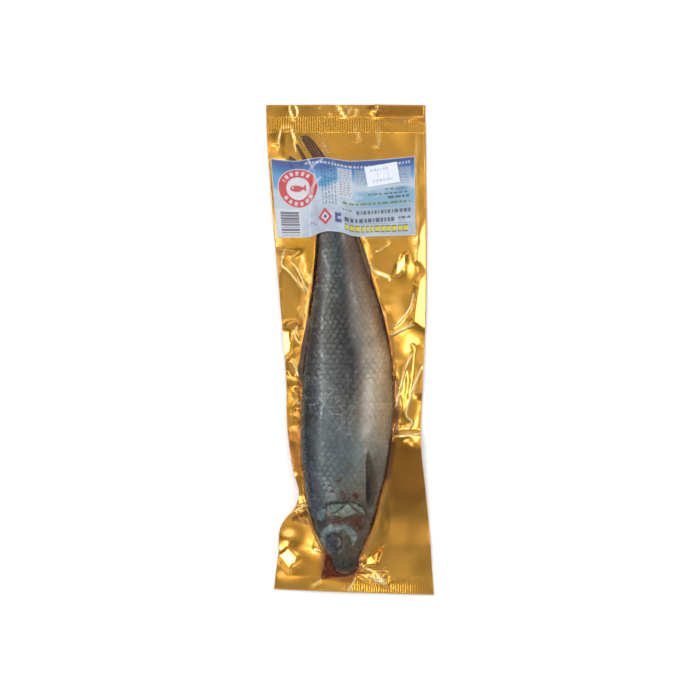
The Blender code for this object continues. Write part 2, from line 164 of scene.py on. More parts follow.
def path_distance(x, y, path):
    """Distance from each (x, y) to a line through points, how far along it the nearest spot is, 0 to 1,
    and the side it lies on, 1 to the left of the line's way and -1 to its right."""
    path = np.array(path, float)
    spans = np.hypot(*np.diff(path, axis=0).T)
    reached = np.concatenate([[0], np.cumsum(spans)]) / spans.sum()
    nearest = np.full(np.shape(x), np.inf)
    along = np.zeros(np.shape(x))
    side = np.ones(np.shape(x))
    for a, b, start, end in zip(path, path[1:], reached, reached[1:]):
        way = b - a
        t = np.clip(((x - a[0]) * way[0] + (y - a[1]) * way[1]) / (way @ way), 0, 1)
        away = np.hypot(x - a[0] - t * way[0], y - a[1] - t * way[1])
        closer = away < nearest
        nearest = np.where(closer, away, nearest)
        to_left = way[0] * (y - a[1]) - way[1] * (x - a[0]) > 0
        side = np.where(closer, np.where(to_left, 1.0, -1.0), side)
        along = np.where(closer, start + (end - start) * t, along)
    return nearest, along, side


def near_path(x, y, path, far, close):
    """1 closer than close to a line through points, and 0 beyond far."""
    return step(far, close, path_distance(x, y, path)[0])


def depth_inside(x, y, corners):
    """Distance inside a convex outline with anticlockwise corners, negative outside it."""
    depth = np.full(np.shape(x), np.inf)
    for (ax, ay), (bx, by) in zip(corners, corners[1:] + corners[:1]):
        across = (bx - ax) * (y - ay) - (by - ay) * (x - ax)
        depth = np.minimum(depth, across / math.hypot(bx - ax, by - ay))
    return depth


def curve_through(points, steps=8):
    """A smooth line through a few points."""
    points = np.array(points, float)
    at = np.arange(len(points))
    fine = np.linspace(0, len(points) - 1, steps * (len(points) - 1) + 1)
    return np.stack([Profile(list(zip(at, points[:, axis])))(fine) for axis in (0, 1)], axis=-1)


def make_mesh(name, points_mm, faces, colours=None, smooth=True):
    """A mesh object from points in millimetres, with a colour for each point."""
    mesh = bpy.data.meshes.new(name)
    faces = faces.tolist() if isinstance(faces, np.ndarray) else faces
    mesh.from_pydata((np.asarray(points_mm) * MM).tolist(), [], faces)
    if colours is not None:
        tint = mesh.color_attributes.new(name="tint", type="FLOAT_COLOR", domain="POINT")
        rgba = np.ones((len(points_mm), 4), np.float32)
        rgba[:, :colours.shape[-1]] = np.clip(colours, 0, 1)
        tint.data.foreach_set("color", rgba.ravel())
    if smooth:
        mesh.shade_smooth()
    obj = bpy.data.objects.new(name, mesh)
    bpy.context.collection.objects.link(obj)
    return obj


def grid_faces(rows, columns, offset=0, flip=False):
    corner = np.arange(rows * columns).reshape(rows, columns) + offset
    quads = np.stack([corner[:-1, :-1], corner[:-1, 1:], corner[1:, 1:], corner[1:, :-1]], axis=-1)
    quads = quads.reshape(-1, 4)
    return quads[:, ::-1] if flip else quads


def closed_sheet(name, top, bottom, colours=None):
    """A closed thin piece between two grids of points, the top one seen anticlockwise from above."""
    rows, columns = top.shape[:2]
    count = rows * columns
    corner = np.arange(count).reshape(rows, columns)
    rim = np.concatenate([corner[0, :-1], corner[:-1, -1], corner[-1, :0:-1], corner[:0:-1, 0]])
    sides = np.stack([rim, rim + count, np.roll(rim, -1) + count, np.roll(rim, -1)], axis=-1)
    faces = np.concatenate([
        grid_faces(rows, columns), grid_faces(rows, columns, offset=count, flip=True), sides,
    ])
    points = np.concatenate([top.reshape(-1, 3), bottom.reshape(-1, 3)])
    if colours is not None:
        colours = np.tile(colours.reshape(-1, colours.shape[-1]), (2, 1))
    return make_mesh(name, points, faces, colours)


half_depth = Profile(HALF_DEPTH)
half_thickness = Profile(HALF_THICKNESS)
spine_height = Profile(SPINE_HEIGHT)
spine_x = Profile(SPINE)
left_edge = Profile(LEFT_EDGE)
right_edge = Profile(RIGHT_EDGE)
border_at_fish = Profile(BORDER_AT_FISH)
border_at_edge = Profile(BORDER_AT_EDGE)
tail_mound_centre = Profile([(y, x) for y, x, _ in TAIL_MOUND])
tail_mound_half = Profile([(y, half) for y, _, half in TAIL_MOUND])

SPINE_Y = np.linspace(SPINE[0][0], SPINE[-1][0], 400)
SPINE_S = np.concatenate([[0], np.cumsum(np.hypot(np.diff(SPINE_Y), np.diff(spine_x(SPINE_Y))))])


def lay(s, d, w):
    """Points of the straight fish, laid along the spine in the pouch."""
    y = np.interp(s, SPINE_S, SPINE_Y)
    slope = (spine_x(y + 1) - spine_x(y - 1)) / 2
    along = np.hypot(1, slope)
    z = np.maximum(spine_height(s) + w, LOWEST_FISH_Z)
    return np.stack([spine_x(y) - d / along, y + d * slope / along, z], axis=-1)


def on_fish(x, y):
    """The fish's s and d at points seen from above."""
    slope = (spine_x(y + 1) - spine_x(y - 1)) / 2
    along = np.hypot(1, slope)
    aside = x - spine_x(y)
    return np.interp(y, SPINE_Y, SPINE_S) + aside * slope / along, -aside / along


# -------- fish skin

SCALE_STEP = 4.0
SCALE_WIDTH = 5.6
SCALE_RADIUS = 4.6
SCALE_LIFT = 0.5
# Plates of the gill cover, as corners (s, d), anticlockwise with s to the right
LEAF_PLATE = ((46.7, 6.6), (44.0, 0.6), (48.7, -10.1), (54.8, -3.4))
BACK_PLATE = ((54.5, 9.5), (47.5, 8.0), (50.5, 1.5), (55.2, -1.0))
BLUE_PLATE = ((52, 18.5), (43, 19.5), (41.5, 15), (51, 12.5))
LOW_PLATE = ((54.6, -6.0), (50.5, -10.5), (45.5, -17.5), (51.5, -15.5))
# Each plate's colour, and how much of it shows
PLATES = (
    (BACK_PLATE, (112, 134, 132), 0.7), (LOW_PLATE, (132, 140, 124), 0.7), (BLUE_PLATE, (112, 140, 152), 0.8),
    (LEAF_PLATE, (146, 158, 144), 0.9),
)
# Where along the flank the streak of sheen runs, as (s, d): the skin is metallic there and its colour painted
# paler, a painted sheen
SHEEN_LINE = Profile(((40, 17), (90, 18.5), (130, 20), (190, 18.5), (230, 12.5), (262, 9.5)))
# The skin's colours are darkened by a factor and a little more, to stand under the film's own shine
SKIN_TONE, SKIN_BLACK, DARKEST = 0.78, 0.006, 0.002
EYE = (24.8, 7.8)
EYE_RADIUS = 5.2
# Rear edge of the gill cover, as (d, s), and the edges of the pectoral fin, as (s, d)
GILL_EDGE = Profile((
    (-24, 28), (-21, 36), (-18.4, 46), (-11.9, 54.3), (-5.5, 56.4), (0, 55.7), (7, 55.2), (13.6, 53.2),
    (19.5, 47.5), (25, 38),
))
FIN_UPPER_EDGE = Profile(((52, -18.7), (60, -17.9), (75, -17.2), (90, -16.4), (98, -17.7)))
FIN_LOWER_EDGE = Profile(((52, -23.5), (60, -26), (75, -26.5), (90, -21.8), (98, -18.6)))
PECTORAL_RAYS = 7
# Colours from the back's edge to the belly's, at stations along the body
ACROSS = (1.0, 0.85, 0.62, 0.45, 0.2, -0.05, -0.25, -0.45, -0.7, -0.87, -1.0)
BODY_COLOURS = (
    (56, ((48, 50, 56), (48, 52, 60), (78, 84, 92), (92, 98, 100), (98, 102, 96), (92, 88, 78),
          (100, 96, 86), (98, 90, 78), (84, 68, 54), (84, 64, 46), (60, 42, 32))),
    (95, ((54, 54, 56), (44, 48, 54), (80, 86, 92), (100, 110, 114), (90, 98, 104), (98, 106, 110),
          (120, 128, 128), (132, 132, 122), (118, 112, 102), (112, 104, 92), (76, 60, 46))),
    (130, ((60, 44, 34), (36, 37, 40), (68, 74, 80), (98, 106, 108), (74, 74, 74), (66, 66, 62),
           (110, 102, 92), (152, 142, 130), (178, 160, 134), (166, 138, 96), (88, 52, 24))),
    (172, ((62, 40, 28), (44, 39, 37), (74, 72, 72), (100, 100, 98), (72, 72, 72), (46, 46, 50),
           (92, 86, 82), (152, 140, 126), (186, 164, 136), (154, 116, 72), (72, 38, 18))),
    (210, ((66, 48, 38), (62, 52, 46), (92, 88, 84), (104, 100, 94), (76, 76, 74), (66, 66, 64),
           (90, 84, 76), (118, 104, 92), (138, 118, 98), (124, 94, 64), (74, 48, 30))),
    (250, ((70, 50, 40), (76, 62, 52), (98, 94, 92), (98, 98, 96), (80, 88, 90), (60, 68, 72),
           (74, 68, 62), (98, 84, 74), (110, 92, 78), (100, 76, 56), (64, 42, 28))),
    (305, ((54, 42, 36), (62, 52, 46), (76, 72, 70), (76, 76, 74), (66, 70, 72), (54, 58, 60),
           (62, 56, 52), (76, 66, 58), (84, 70, 58), (76, 58, 44), (52, 36, 26))),
)
HEAD_COLOURS = ((56, 52, 50), (58, 54, 52), (62, 62, 60), (76, 74, 68), (82, 78, 70), (84, 78, 68),
                (88, 80, 66), (88, 76, 58), (92, 76, 54), (84, 64, 44), (60, 44, 30))

rough = Noise(3)
mottle = Noise(11)
speckle = Noise(23)


def scale_pattern(along, across):
    """Overlapping scales, free edges towards the tail: height and nearness to a free edge, 0 to 1."""
    row = np.floor(along / SCALE_STEP)
    height = np.full(along.shape, 0.5)
    edge = np.zeros(along.shape)
    for behind in (2, 1, 0, -1):
        centre_row = row + behind
        shift = 0.5 * (centre_row % 2)
        centre = (np.round(across / SCALE_WIDTH - shift) + shift) * SCALE_WIDTH
        forward = along - centre_row * SCALE_STEP
        away = np.hypot(forward, (across - centre) * 1.45) / SCALE_RADIUS
        inside = away < 1
        height = np.where(inside, 0.5 + 0.5 * forward / SCALE_RADIUS, height)
        edge = np.where(inside, step(0.72, 0.94, away), edge)
    return height, edge


def scaled_body(s, d, turn):
    """Where scales show, and the pattern there."""
    depth = half_depth(s)
    across = (turn - math.pi / 2) * depth**0.6 * 36**0.4
    warp_s = s + 1.2 * rough(s, across, 14, 2)
    warp_c = across + 1.2 * rough(s + 90, across, 15, 2)
    height, edge = scale_pattern(warp_s, warp_c)
    covered = step(2, 9, s - GILL_EDGE(d)) * step(304, 292, s)
    covered = covered * (1 - fin_mask(s, d)) * (0.68 + 0.32 * np.clip(rough(s, across, 9, 2), -1, 1))
    return height, edge, covered


def fin_mask(s, d):
    """1 on the pectoral fin."""
    within = step(50, 54, s) * step(99, 95, s)
    return within * step(0, 0.6, FIN_UPPER_EDGE(s) - d) * step(-0.5, 2.0, d - FIN_LOWER_EDGE(s))


def skin_relief(s, d, turn):
    """Height of the skin's detail over the smooth body."""
    height, _, covered = scaled_body(s, d, turn)
    q = d / half_depth(s)
    relief = SCALE_LIFT * (0.55 + 0.45 * step(-0.3, 0.3, q)) * covered * (height - 0.5)
    # gill cover: a plate that ends in a lip, with a lower plate inside it
    ahead = GILL_EDGE(d) - s
    relief += 1.0 * step(-0.4, 0.9, ahead) * step(26, 6, ahead) * step(-25, -19, d) * step(27, 20, d)
    relief -= 0.5 * bell(ahead + 1.1, 0.8) * step(22, 16, abs(d))
    inner = path_distance(s, d, curve_through(((54, -3), (48.5, -12.7), (39, -14.3), (33, -13))))[0]
    relief += 0.45 * bell(inner, 1.2)
    for plate, _, _ in PLATES:
        relief += 0.4 * step(-0.5, 0.7, depth_inside(s, d, plate))
    # eye: a low ball in a socket, under a ring of tissue
    from_eye = np.hypot(s - EYE[0], d - EYE[1])
    relief += 1.3 * np.sqrt(np.maximum(0, 1 - (from_eye / EYE_RADIUS) ** 2))
    relief -= 0.8 * bell(from_eye - EYE_RADIUS - 0.9, 0.9)
    relief += 0.3 * bell(from_eye - 9.5, 2.2)
    # mouth and jaw
    mouth = path_distance(s, d, curve_through(((0, 0.5), (6, -3), (12, -7.5), (17, -9.5))))[0]
    relief -= 0.3 * bell(mouth, 0.7)
    jaw = path_distance(s, d, curve_through(((10, -1), (16, -4), (20, -8), (19, -12))))[0]
    relief -= 0.15 * bell(jaw, 0.8)
    relief -= 0.3 * bell(np.hypot(s - 9, d - 5.5), 0.9)
    # pectoral fin: it lies in a pocket below the flank's edge, its rays running tailwards
    beside = d - FIN_UPPER_EDGE(s)
    rays = np.cos(beside / (FIN_LOWER_EDGE(s) - FIN_UPPER_EDGE(s) - 0.01) * 2 * math.pi * PECTORAL_RAYS)
    relief += fin_mask(s, d) * (0.14 * rays - 0.35)
    lip = step(-0.3, 0.3, beside) * np.exp(-np.maximum(beside, 0) / 3.5)
    relief += 0.8 * lip * step(52, 60, s) * step(101, 94, s)
    # slack skin on the body, and wrinkles on the head
    relief += 0.35 * rough(s, d, 15) * step(40, 80, s)
    relief += 0.5 * (0.5 - np.abs(rough(s, d, 6.0, 3))) * step(62, 50, s) * step(2, 14, s)
    return relief


def across_colour(q, colours):
    """A row of colours from the back's edge to the belly's, read at a share of the half depth."""
    table = np.array([rgb(*colour) for colour in colours[::-1]])
    return np.stack([np.interp(q, ACROSS[::-1], table[:, channel]) for channel in range(3)], -1)


def body_colour(s, q):
    """Colour of the body by station and by share of the half depth."""
    stations = [station for station, _ in BODY_COLOURS]
    rows = np.stack([across_colour(q, colours) for _, colours in BODY_COLOURS])
    place = np.interp(s, stations, np.arange(len(stations)))
    lower = np.clip(np.floor(place).astype(int), 0, len(stations) - 2)
    at = lower[None, ..., None]
    return mix(*(np.take_along_axis(rows, at + i, axis=0)[0] for i in (0, 1)), place - lower)


def head_colour(s, d, q):
    """Colour of the head: dark slate and brown, with the plates, the cheek and the eye."""
    colour = across_colour(q, HEAD_COLOURS)
    patchy = 0.5 + 0.5 * rough(s, d, 5, 3)
    ahead = GILL_EDGE(d) - s
    rim = step(0.3, 1.2, ahead) * step(9, 3.5, ahead) * step(-22, -14, d) * step(16, 8, d)
    colour = mix(colour, rgb(136, 144, 130), 0.8 * rim * (0.5 + 0.5 * patchy))
    wrinkled = 0.5 + 0.5 * np.clip(rough(s * 1.4, d, 2.6, 3), -1, 1)
    for plate, tone, share in PLATES:
        inside = depth_inside(s + 0.5 * rough(s, d, 4), d, plate)
        colour = mix(colour, rgb(30, 32, 34), 0.6 * step(-1.6, -0.3, inside) * step(0.5, -0.3, inside))
        colour = mix(colour, rgb(*tone), share * step(-0.3, 0.6, inside) * (0.55 + 0.45 * wrinkled))
    # the light that catches the plate's rim in the photo, painted
    lit_rim = near_path(s, d, LEAF_PLATE[1:3], 0.8, 0.2)
    colour = mix(colour, rgb(196, 184, 160), 0.7 * lit_rim * (0.4 + 0.6 * patchy))
    red = near_path(s, d, ((41, 6), (42, -2), (40, -12), (44, -15)), 5, 1.5)
    colour = mix(colour, rgb(96, 44, 34), 0.9 * red * (0.45 + 0.55 * patchy))
    # tissue round the eye
    from_cheek = np.hypot(s - 25.5, (d - 3.5) * 0.92) + 1.2 * rough(s + 20, d, 5, 2)
    cheek = step(7.5, 9.5, from_cheek) * step(15.0, 11.5, from_cheek) * step(18, 26, s + 0.3 * d)
    colour = mix(colour, rgb(140, 160, 162), 0.95 * cheek * (0.35 + 0.65 * wrinkled))
    # a pale stroke on the cheek: painted highlight
    cheek_highlight = near_path(s, d, ((21.4, -6.8), (26.5, -9.2)), 0.9, 0.2)
    colour = mix(colour, rgb(190, 204, 202), 0.7 * cheek_highlight * (0.4 + 0.6 * wrinkled))
    from_eye = np.hypot(s - EYE[0], d - EYE[1])
    colour = mix(colour, rgb(52, 58, 66), 0.85 * step(8.2, 6.2, from_eye))
    colour = mix(colour, rgb(76, 86, 94), 0.6 * step(5.6, 4.6, from_eye))
    iris = 0.5 + 0.5 * np.clip(rough(s + 9, d, 1.8, 2), -1, 1)
    colour = mix(colour, mix(rgb(22, 24, 28), rgb(66, 74, 80), iris), 0.9 * step(4.3, 3.2, from_eye))
    # a glint beside the eye, painted
    glint = near_path(s, d, curve_through(((27.5, 3.6), (24.5, 2.9), (21.5, 4.6))), 1.1, 0.3)
    colour = mix(colour, rgb(168, 142, 122), 0.55 * glint)
    colour = mix(colour, rgb(44, 40, 38), 0.75 * step(15, 4, s))
    blotch = step(0.05, 0.65, rough(s + 40, d, 7, 4)) * step(3, 16, s)
    colour = mix(colour, rgb(40, 38, 38), 0.6 * blotch * step(4.5, 6.5, from_eye))
    return colour


def skin_colour(s, d, turn):
    """Colour of the skin, and in the fourth value how silvery it is, which makes it mirror the light."""
    _, edge, covered = scaled_body(s, d, turn)
    q = d / half_depth(s)
    wander = q + 0.06 * rough(s, d, 24, 2)
    body = body_colour(s, wander)
    head = head_colour(s, d, wander)
    ahead = GILL_EDGE(d) - s
    colour = mix(body, head, step(-0.6, 0.4, ahead))
    # scale edges hold the dark pigment of the back
    patchy = 0.3 + 0.7 * step(-0.6, 0.5, mottle(s, d * 1.4, 9, 3))
    pigment = covered * edge * (0.18 + 0.74 * step(-0.40, 0.15, q)) * patchy
    colour = mix(colour * (1 + 0.40 * covered * (1 - edge))[..., None], rgb(12, 15, 20), pigment)
    # pale scattered scales on the upper half of the flank: painted sheen
    scale_sheen = covered * (1 - edge) * step(0.15, 0.9, speckle(s, d, 3.2)) * step(-0.5, 0.1, q)
    colour = mix(colour, rgb(150, 166, 170), 0.35 * scale_sheen)
    # the gill slit, and the fin, darker towards its pocket as painted shade
    slit = bell(ahead + 0.5, 0.7) * step(21, 15, abs(d))
    colour = mix(colour, rgb(20, 20, 24), 0.85 * slit)
    fin = fin_mask(s, d)
    # painted shade: the fin darkens towards its pocket under the flank's edge
    deep = step(8.5, 0.5, FIN_UPPER_EDGE(s) - d) * step(100, 58, s)
    colour = mix(colour, mix(rgb(84, 76, 62), rgb(20, 16, 17), np.clip(deep * 1.3, 0, 1)), 0.92 * fin)
    lobe = step(6.0, 1.5, np.hypot(s - 51, (d + 22) * 1.3) + 1.5 * rough(s, d, 4))
    colour = mix(colour, rgb(112, 112, 108), 0.35 * lobe * step(-1, 0, -ahead))
    # rusty spots behind the gill cover
    for centre_s, centre_d, size in ((73.5, 2.2, 5.5), (62, -2.2, 6.0), (60.5, -9.4, 6.0), (66, 8, 3.5)):
        near = step(size, size * 0.3, np.hypot(s - centre_s, d - centre_d))
        spots = step(-0.15, 0.4, speckle(s, d, 1.7, 2))
        colour = mix(colour, rgb(86, 40, 18), 0.85 * near * spots)
    # where the skin is silvery its colour is painted paler: painted sheen over the metal share
    silver_and_sheen = silver_and_sheen_share(s, d, covered * edge)
    colour = mix(colour, rgb(214, 220, 220), 0.7 * silver_and_sheen)
    # the shade under the belly's edge, painted
    shaded = 1 - 0.45 * step(0.76, 0.86, q) * step(0.99, 0.92, q) * step(40, 70, s) * step(200, 150, s)
    tone = (1 + 0.13 * mottle(s, d, 9, 3) + 0.12 * speckle(s, d, 1.3)) * shaded * SKIN_TONE
    colour = np.maximum(colour * tone[..., None] - SKIN_BLACK, DARKEST)
    return np.concatenate([colour, silver_and_sheen[..., None]], axis=-1)


def silver_and_sheen_share(s, d, edge):
    """How silvery the skin is, most along the flank's streak and on a fold in the film; it is painted paler
    there too, as painted sheen. How silvery the skin is: most where the photo's streak runs along the
    flank, and on a fold.
    """
    # a pale line where the film folds over the fish: a painted reflection, made metallic as well
    fold = near_path(s, d, curve_through(((253, 13), (235, 10), (207, 17.3), (192, 19))), 1.4, 0.3)
    fold = fold * np.clip(0.75 + 0.5 * speckle(s, d, 4), 0, 1)
    # the streak along the flank: metallic, and painted paler as painted sheen
    above_line = d - SHEEN_LINE(s)
    broad = bell(above_line, 3.0) * step(70, 95, s) * step(275, 250, s)
    narrow = bell(above_line - 0.8 * rough(s, 0 * s, 9), 0.9) * step(70, 95, s) * step(196, 180, s)
    patchy = (0.35 + 0.65 * step(-0.4, 0.5, speckle(s, d, 2.6, 2))) * (1 - 0.8 * edge)
    return np.clip(0.5 * (broad + narrow) * patchy + 0.8 * fold, 0, 1)


def flank(s, share):
    keel = 1 - BELLY_KEEL * np.maximum(0, -share) ** 2
    return half_thickness(s) * np.maximum(0, 1 - share**2) ** SECTION_POWER * keel


def make_skin():
    """The whole skin, from the snout to the root of the tail fin, as one closed mesh."""
    along, upper, lower = 560, 144, 30
    s = np.linspace(0, HALF_DEPTH[-1][0], along)
    turn = np.concatenate([
        np.linspace(0, math.pi, upper, endpoint=False),
        np.linspace(math.pi, 2 * math.pi, lower, endpoint=False),
    ])
    s, turn = np.meshgrid(s, turn, indexing="ij")
    share = np.cos(turn)
    blunt = np.sqrt(np.clip(1 - (1 - np.clip(s / 4.0, 0, 1)) ** 2, 0.04, 1)) * np.sqrt(
        np.clip(1 - np.clip((s - 305) / 4.0, 0, 1) ** 2, 0.04, 1))
    d = half_depth(s) * share * (0.35 + 0.65 * blunt)
    w = flank(s, share) * np.where(np.sin(turn) >= 0, 1.0, -UNDERSIDE_FLATNESS) * blunt
    points = lay(s, d, w)
    normal = np.cross(np.gradient(points, axis=0), np.roll(points, -1, axis=1) - np.roll(points, 1, axis=1))
    normal /= np.linalg.norm(normal, axis=-1, keepdims=True) + 1e-9
    if normal[along // 2, upper // 2, 2] < 0:
        normal = -normal
    folded = np.where(turn <= math.pi, turn, 2 * math.pi - turn)
    relief = skin_relief(s, d, folded) * step(0, 6, s) * step(309, 300, s)
    points = points + normal * relief[..., None]
    points[..., 2] = np.maximum(points[..., 2], LOWEST_FISH_Z)
    colours = skin_colour(s, d, folded)
    rows, columns = s.shape
    corner = np.arange(rows * columns).reshape(rows, columns)
    after = np.roll(corner, -1, axis=1)
    faces = np.stack([corner[:-1], corner[1:], after[1:], after[:-1]], axis=-1).reshape(-1, 4).tolist()
    ends = [points[0].mean(axis=0), points[-1].mean(axis=0)]
    first, last = rows * columns, rows * columns + 1
    faces += [(first, corner[0, i], after[0, i]) for i in range(columns)]
    faces += [(last, after[-1, i], corner[-1, i]) for i in range(columns)]
    flat = np.concatenate([points.reshape(-1, 3), ends])
    tint = np.concatenate([colours.reshape(-1, colours.shape[-1]), colours[0, :1], colours[-1, :1]])
    return make_mesh("herring_skin", flat, [list(map(int, face)) for face in faces], tint)


# -------- fins in the fish's middle plane

# Rows of s and the d of the root and of the free edge
DORSAL = ((148, 32.4, 35.9), (154, 31.8, 38.6), (170, 30.6, 37.3), (190, 27.2, 33.2), (204, 25.4, 29.4))
ANAL = ((226, -19.8, -22.0), (234, -17.8, -22.8), (252, -14.4, -19.2), (268, -11.4, -14.3))
TAIL_BACK = ((303, -3.0, 10.0), (316, 2.0, 14.0), (328, 9.0, 16.0), (339, 14.5, 17.0))
TAIL_BELLY = ((303, -10.0, 3.0), (318, -10.2, -0.5), (334, -8.4, -0.2), (344, -6.2, 0.4), (350, -2.8, 0.2))
TAIL_RAY = ((308, 1.0, 5.5), (330, 4.0, 7.4), (345, 5.0, 6.6))


def make_fin(name, rows, rays, thickness, colour, along=60, across=26):
    """A folded fin with rays, thinner towards its free edge."""
    root = Profile([(s, low) for s, low, _ in rows])
    edge = Profile([(s, high) for s, _, high in rows])
    s, t = np.meshgrid(np.linspace(rows[0][0], rows[-1][0], along), np.linspace(0, 1, across), indexing="ij")
    d = root(s) + (edge(s) - root(s)) * t
    ripple = 0.5 + 0.5 * np.cos(2 * math.pi * rays * t + 0.6 * rough(s, d, 9))
    thick = thickness * (0.55 + 0.45 * ripple) * (1 - 0.45 * t)
    top, bottom = lay(s, d, thick), lay(s, d, -thick)
    shade = (0.2 + 1.3 * ripple**2) * (1 + 0.35 * speckle(s * 0.3, d, 1.6, 2))
    tint = np.array(colour) * shade[..., None]
    if rows[1][2] > rows[1][1]:
        top, bottom, tint = top[:, ::-1], bottom[:, ::-1], tint[:, ::-1]
    return closed_sheet(name, top, bottom, tint)


# -------- pouch

BORDER_COLUMNS = 48
MIDDLE_COLUMNS = 24
OUTLINE_REACH = 3.6
ROWS = 408
FOIL_THICKNESS = 0.18
FILM_THICKNESS = 0.15
CLEARANCE = 0.25
CUP_ROUNDS = 12
FILM_PULL, FILM_ROUNDS = 0.030, 260


def mound_at(y):
    """Centre and half width of the part of the webs that the fish lifts."""
    half = np.maximum(half_depth(np.interp(y, SPINE_Y, SPINE_S)) + MOUND_CLEARANCE, NARROWEST_MOUND)
    over_tail = y > TAIL_MOUND[0][0]
    centre = np.where(over_tail, tail_mound_centre(y), spine_x(y))
    return centre, np.where(over_tail, tail_mound_half(y), half)


def web_plan():
    """The x and y of the webs' grid, with its columns closest together in the borders."""
    y = np.linspace(HEAD_END, TAIL_END, ROWS)[:, None]
    centre, half = mound_at(y)
    left, right = left_edge(y), right_edge(y)
    inner_left = np.maximum(centre - half + OUTLINE_REACH, left + 8)
    inner_right = np.minimum(centre + half - OUTLINE_REACH, right - 8)
    border = np.linspace(0, 1, BORDER_COLUMNS, endpoint=False)[None, :]
    middle = np.linspace(0, 1, MIDDLE_COLUMNS, endpoint=False)[None, :]
    x = np.concatenate([
        left + (inner_left - left) * border, inner_left + (inner_right - inner_left) * middle,
        right - (right - inner_right) * (1 - np.linspace(0, 1, BORDER_COLUMNS)[None, :]),
    ], axis=1)
    lift = CORNER_LIFT * step(CORNER_START, HEAD_END, y)
    return x, y + lift * (right - x) / (right - left)


# Creases of the pouch's border: path, width and height; a sharp one has a ridge, a round one a fold
SHARP, ROUND = 1.0, 2.0
CREASES = (
    # flap beyond the seal
    (((-47.8, 195), (-47.6, 188), (-45.2, 183.4), (-41.6, 182.4)), 0.9, 1.3, SHARP),
    (((-44.6, 195), (-42.0, 188.6), (-41.8, 183)), 0.9, 1.2, SHARP),
    (((-11.6, 195), (-7.4, 187), (-4.4, 182.6)), 0.9, 1.4, SHARP),
    (((-4.6, 182.6), (-1.8, 187), (-2.8, 195)), 0.9, 1.3, SHARP),
    (((-22, 195), (-23.6, 190)), 1.0, 0.9, SHARP),
    (((-16, 187), (-15.6, 183)), 1.0, 0.8, SHARP),
    (((4.6, 190), (4.4, 184)), 1.0, 0.9, SHARP),
    (((21, 190), (20.4, 185)), 1.0, 0.8, SHARP),
    (((4.5, 175), (5.5, 170), (9, 164)), 1.2, 0.8, SHARP),
    (((21.8, 176), (22.6, 168), (22, 158)), 1.3, 0.8, SHARP),
    # left of the tail
    (((-55, 175), (-46, 175.4)), 0.8, 0.7, SHARP),
    (((-54, 175), (-56, 167), (-56.2, 160)), 0.9, 1.7, SHARP),
    (((-46.8, 175), (-44.6, 167), (-42, 154)), 0.9, 1.8, SHARP),
    (((-50, 83), (-54, 68), (-47.5, 61), (-33, 43)), 1.1, 1.3, SHARP),
    (((-46.6, 71), (-39, 59), (-32, 43)), 1.0, 1.1, SHARP),
    (((-41, 21), (-43.4, 12), (-39.3, 4)), 1.1, 1.3, SHARP),
    (((-46, -7), (-39.5, -21)), 1.3, 1.2, SHARP),
    (((-44, -30), (-38, -46)), 2.0, 1.8, ROUND),
    (((-43, -40), (-38.5, -43)), 1.0, 1.4, SHARP),
    # side seal, then the right border
    (((52.4, 176), (52.0, 154), (52.6, 88), (53.5, 58)), 0.9, 0.7, SHARP),
    (((32.4, 85), (20.5, 76)), 1.1, 0.9, SHARP),
    (((14, 70), (20, 61), (30, 57), (30, 52)), 1.2, 1.0, SHARP),
    (((50.6, 48), (46.6, 32), (33, 15.8)), 1.2, 1.6, SHARP),
    (((51.4, 21), (31, 11)), 1.5, 1.5, SHARP),
    (((50.4, 0), (43, -16), (39.5, -33)), 1.1, 1.4, SHARP),
    (((57.6, -11), (46.5, -37)), 1.3, 1.5, SHARP),
    (((40, -27), (36, -46)), 1.1, 1.2, SHARP),
    (((52, -26), (44, -49), (49, -57), (44, -65)), 1.1, 1.3, SHARP),
    (((36, -68), (49, -66.5), (58, -66)), 1.2, 1.8, SHARP),
    # head end
    (((-44, -127), (-34, -121)), 1.4, 1.8, SHARP),
    (((-37, -121), (-33, -127), (-25, -149), (-19, -160)), 0.9, 0.9, SHARP),
    (((35.5, -22), (38, -45), (36.5, -66)), 1.8, -1.6, ROUND),
    (((-22, -158), (-30, -157)), 2.0, 1.0, SHARP),
    (((8, -169), (20, -163)), 2.2, 1.6, ROUND),
    (((8, -170), (17, -174), (27, -181), (26, -184), (10, -176)), 1.0, 1.2, SHARP),
    (((12, -172), (20, -176), (16, -180)), 0.9, 0.8, SHARP),
    (((5.5, -179), (-2.4, -191)), 1.2, 1.0, SHARP),
    (((-22, -180.5), (-30, -186)), 1.2, 0.9, SHARP),
)
# Broad swells of the border: centre, size and height
SWELLS = (
    (-49, -150, 9, 8, 2.4), (-48, -172, 11, 8, 1.6), (43, 66, 8, 10, 1.8), (55, 30, 7, 16, 1.6),
    (-53, 2, 6, 9, 1.8), (-57, 100, 6, 20, 1.0),
    (-52, 165, 6, 10, 0.6), (22, -184, 20, 5, 0.8), (54, 95, 6, 16, 1.2),
    (46, 118, 14, 12, 0.8), (40, -25, 8, 12, -1.6), (-38, -122, 6, 5, -1.6),
)
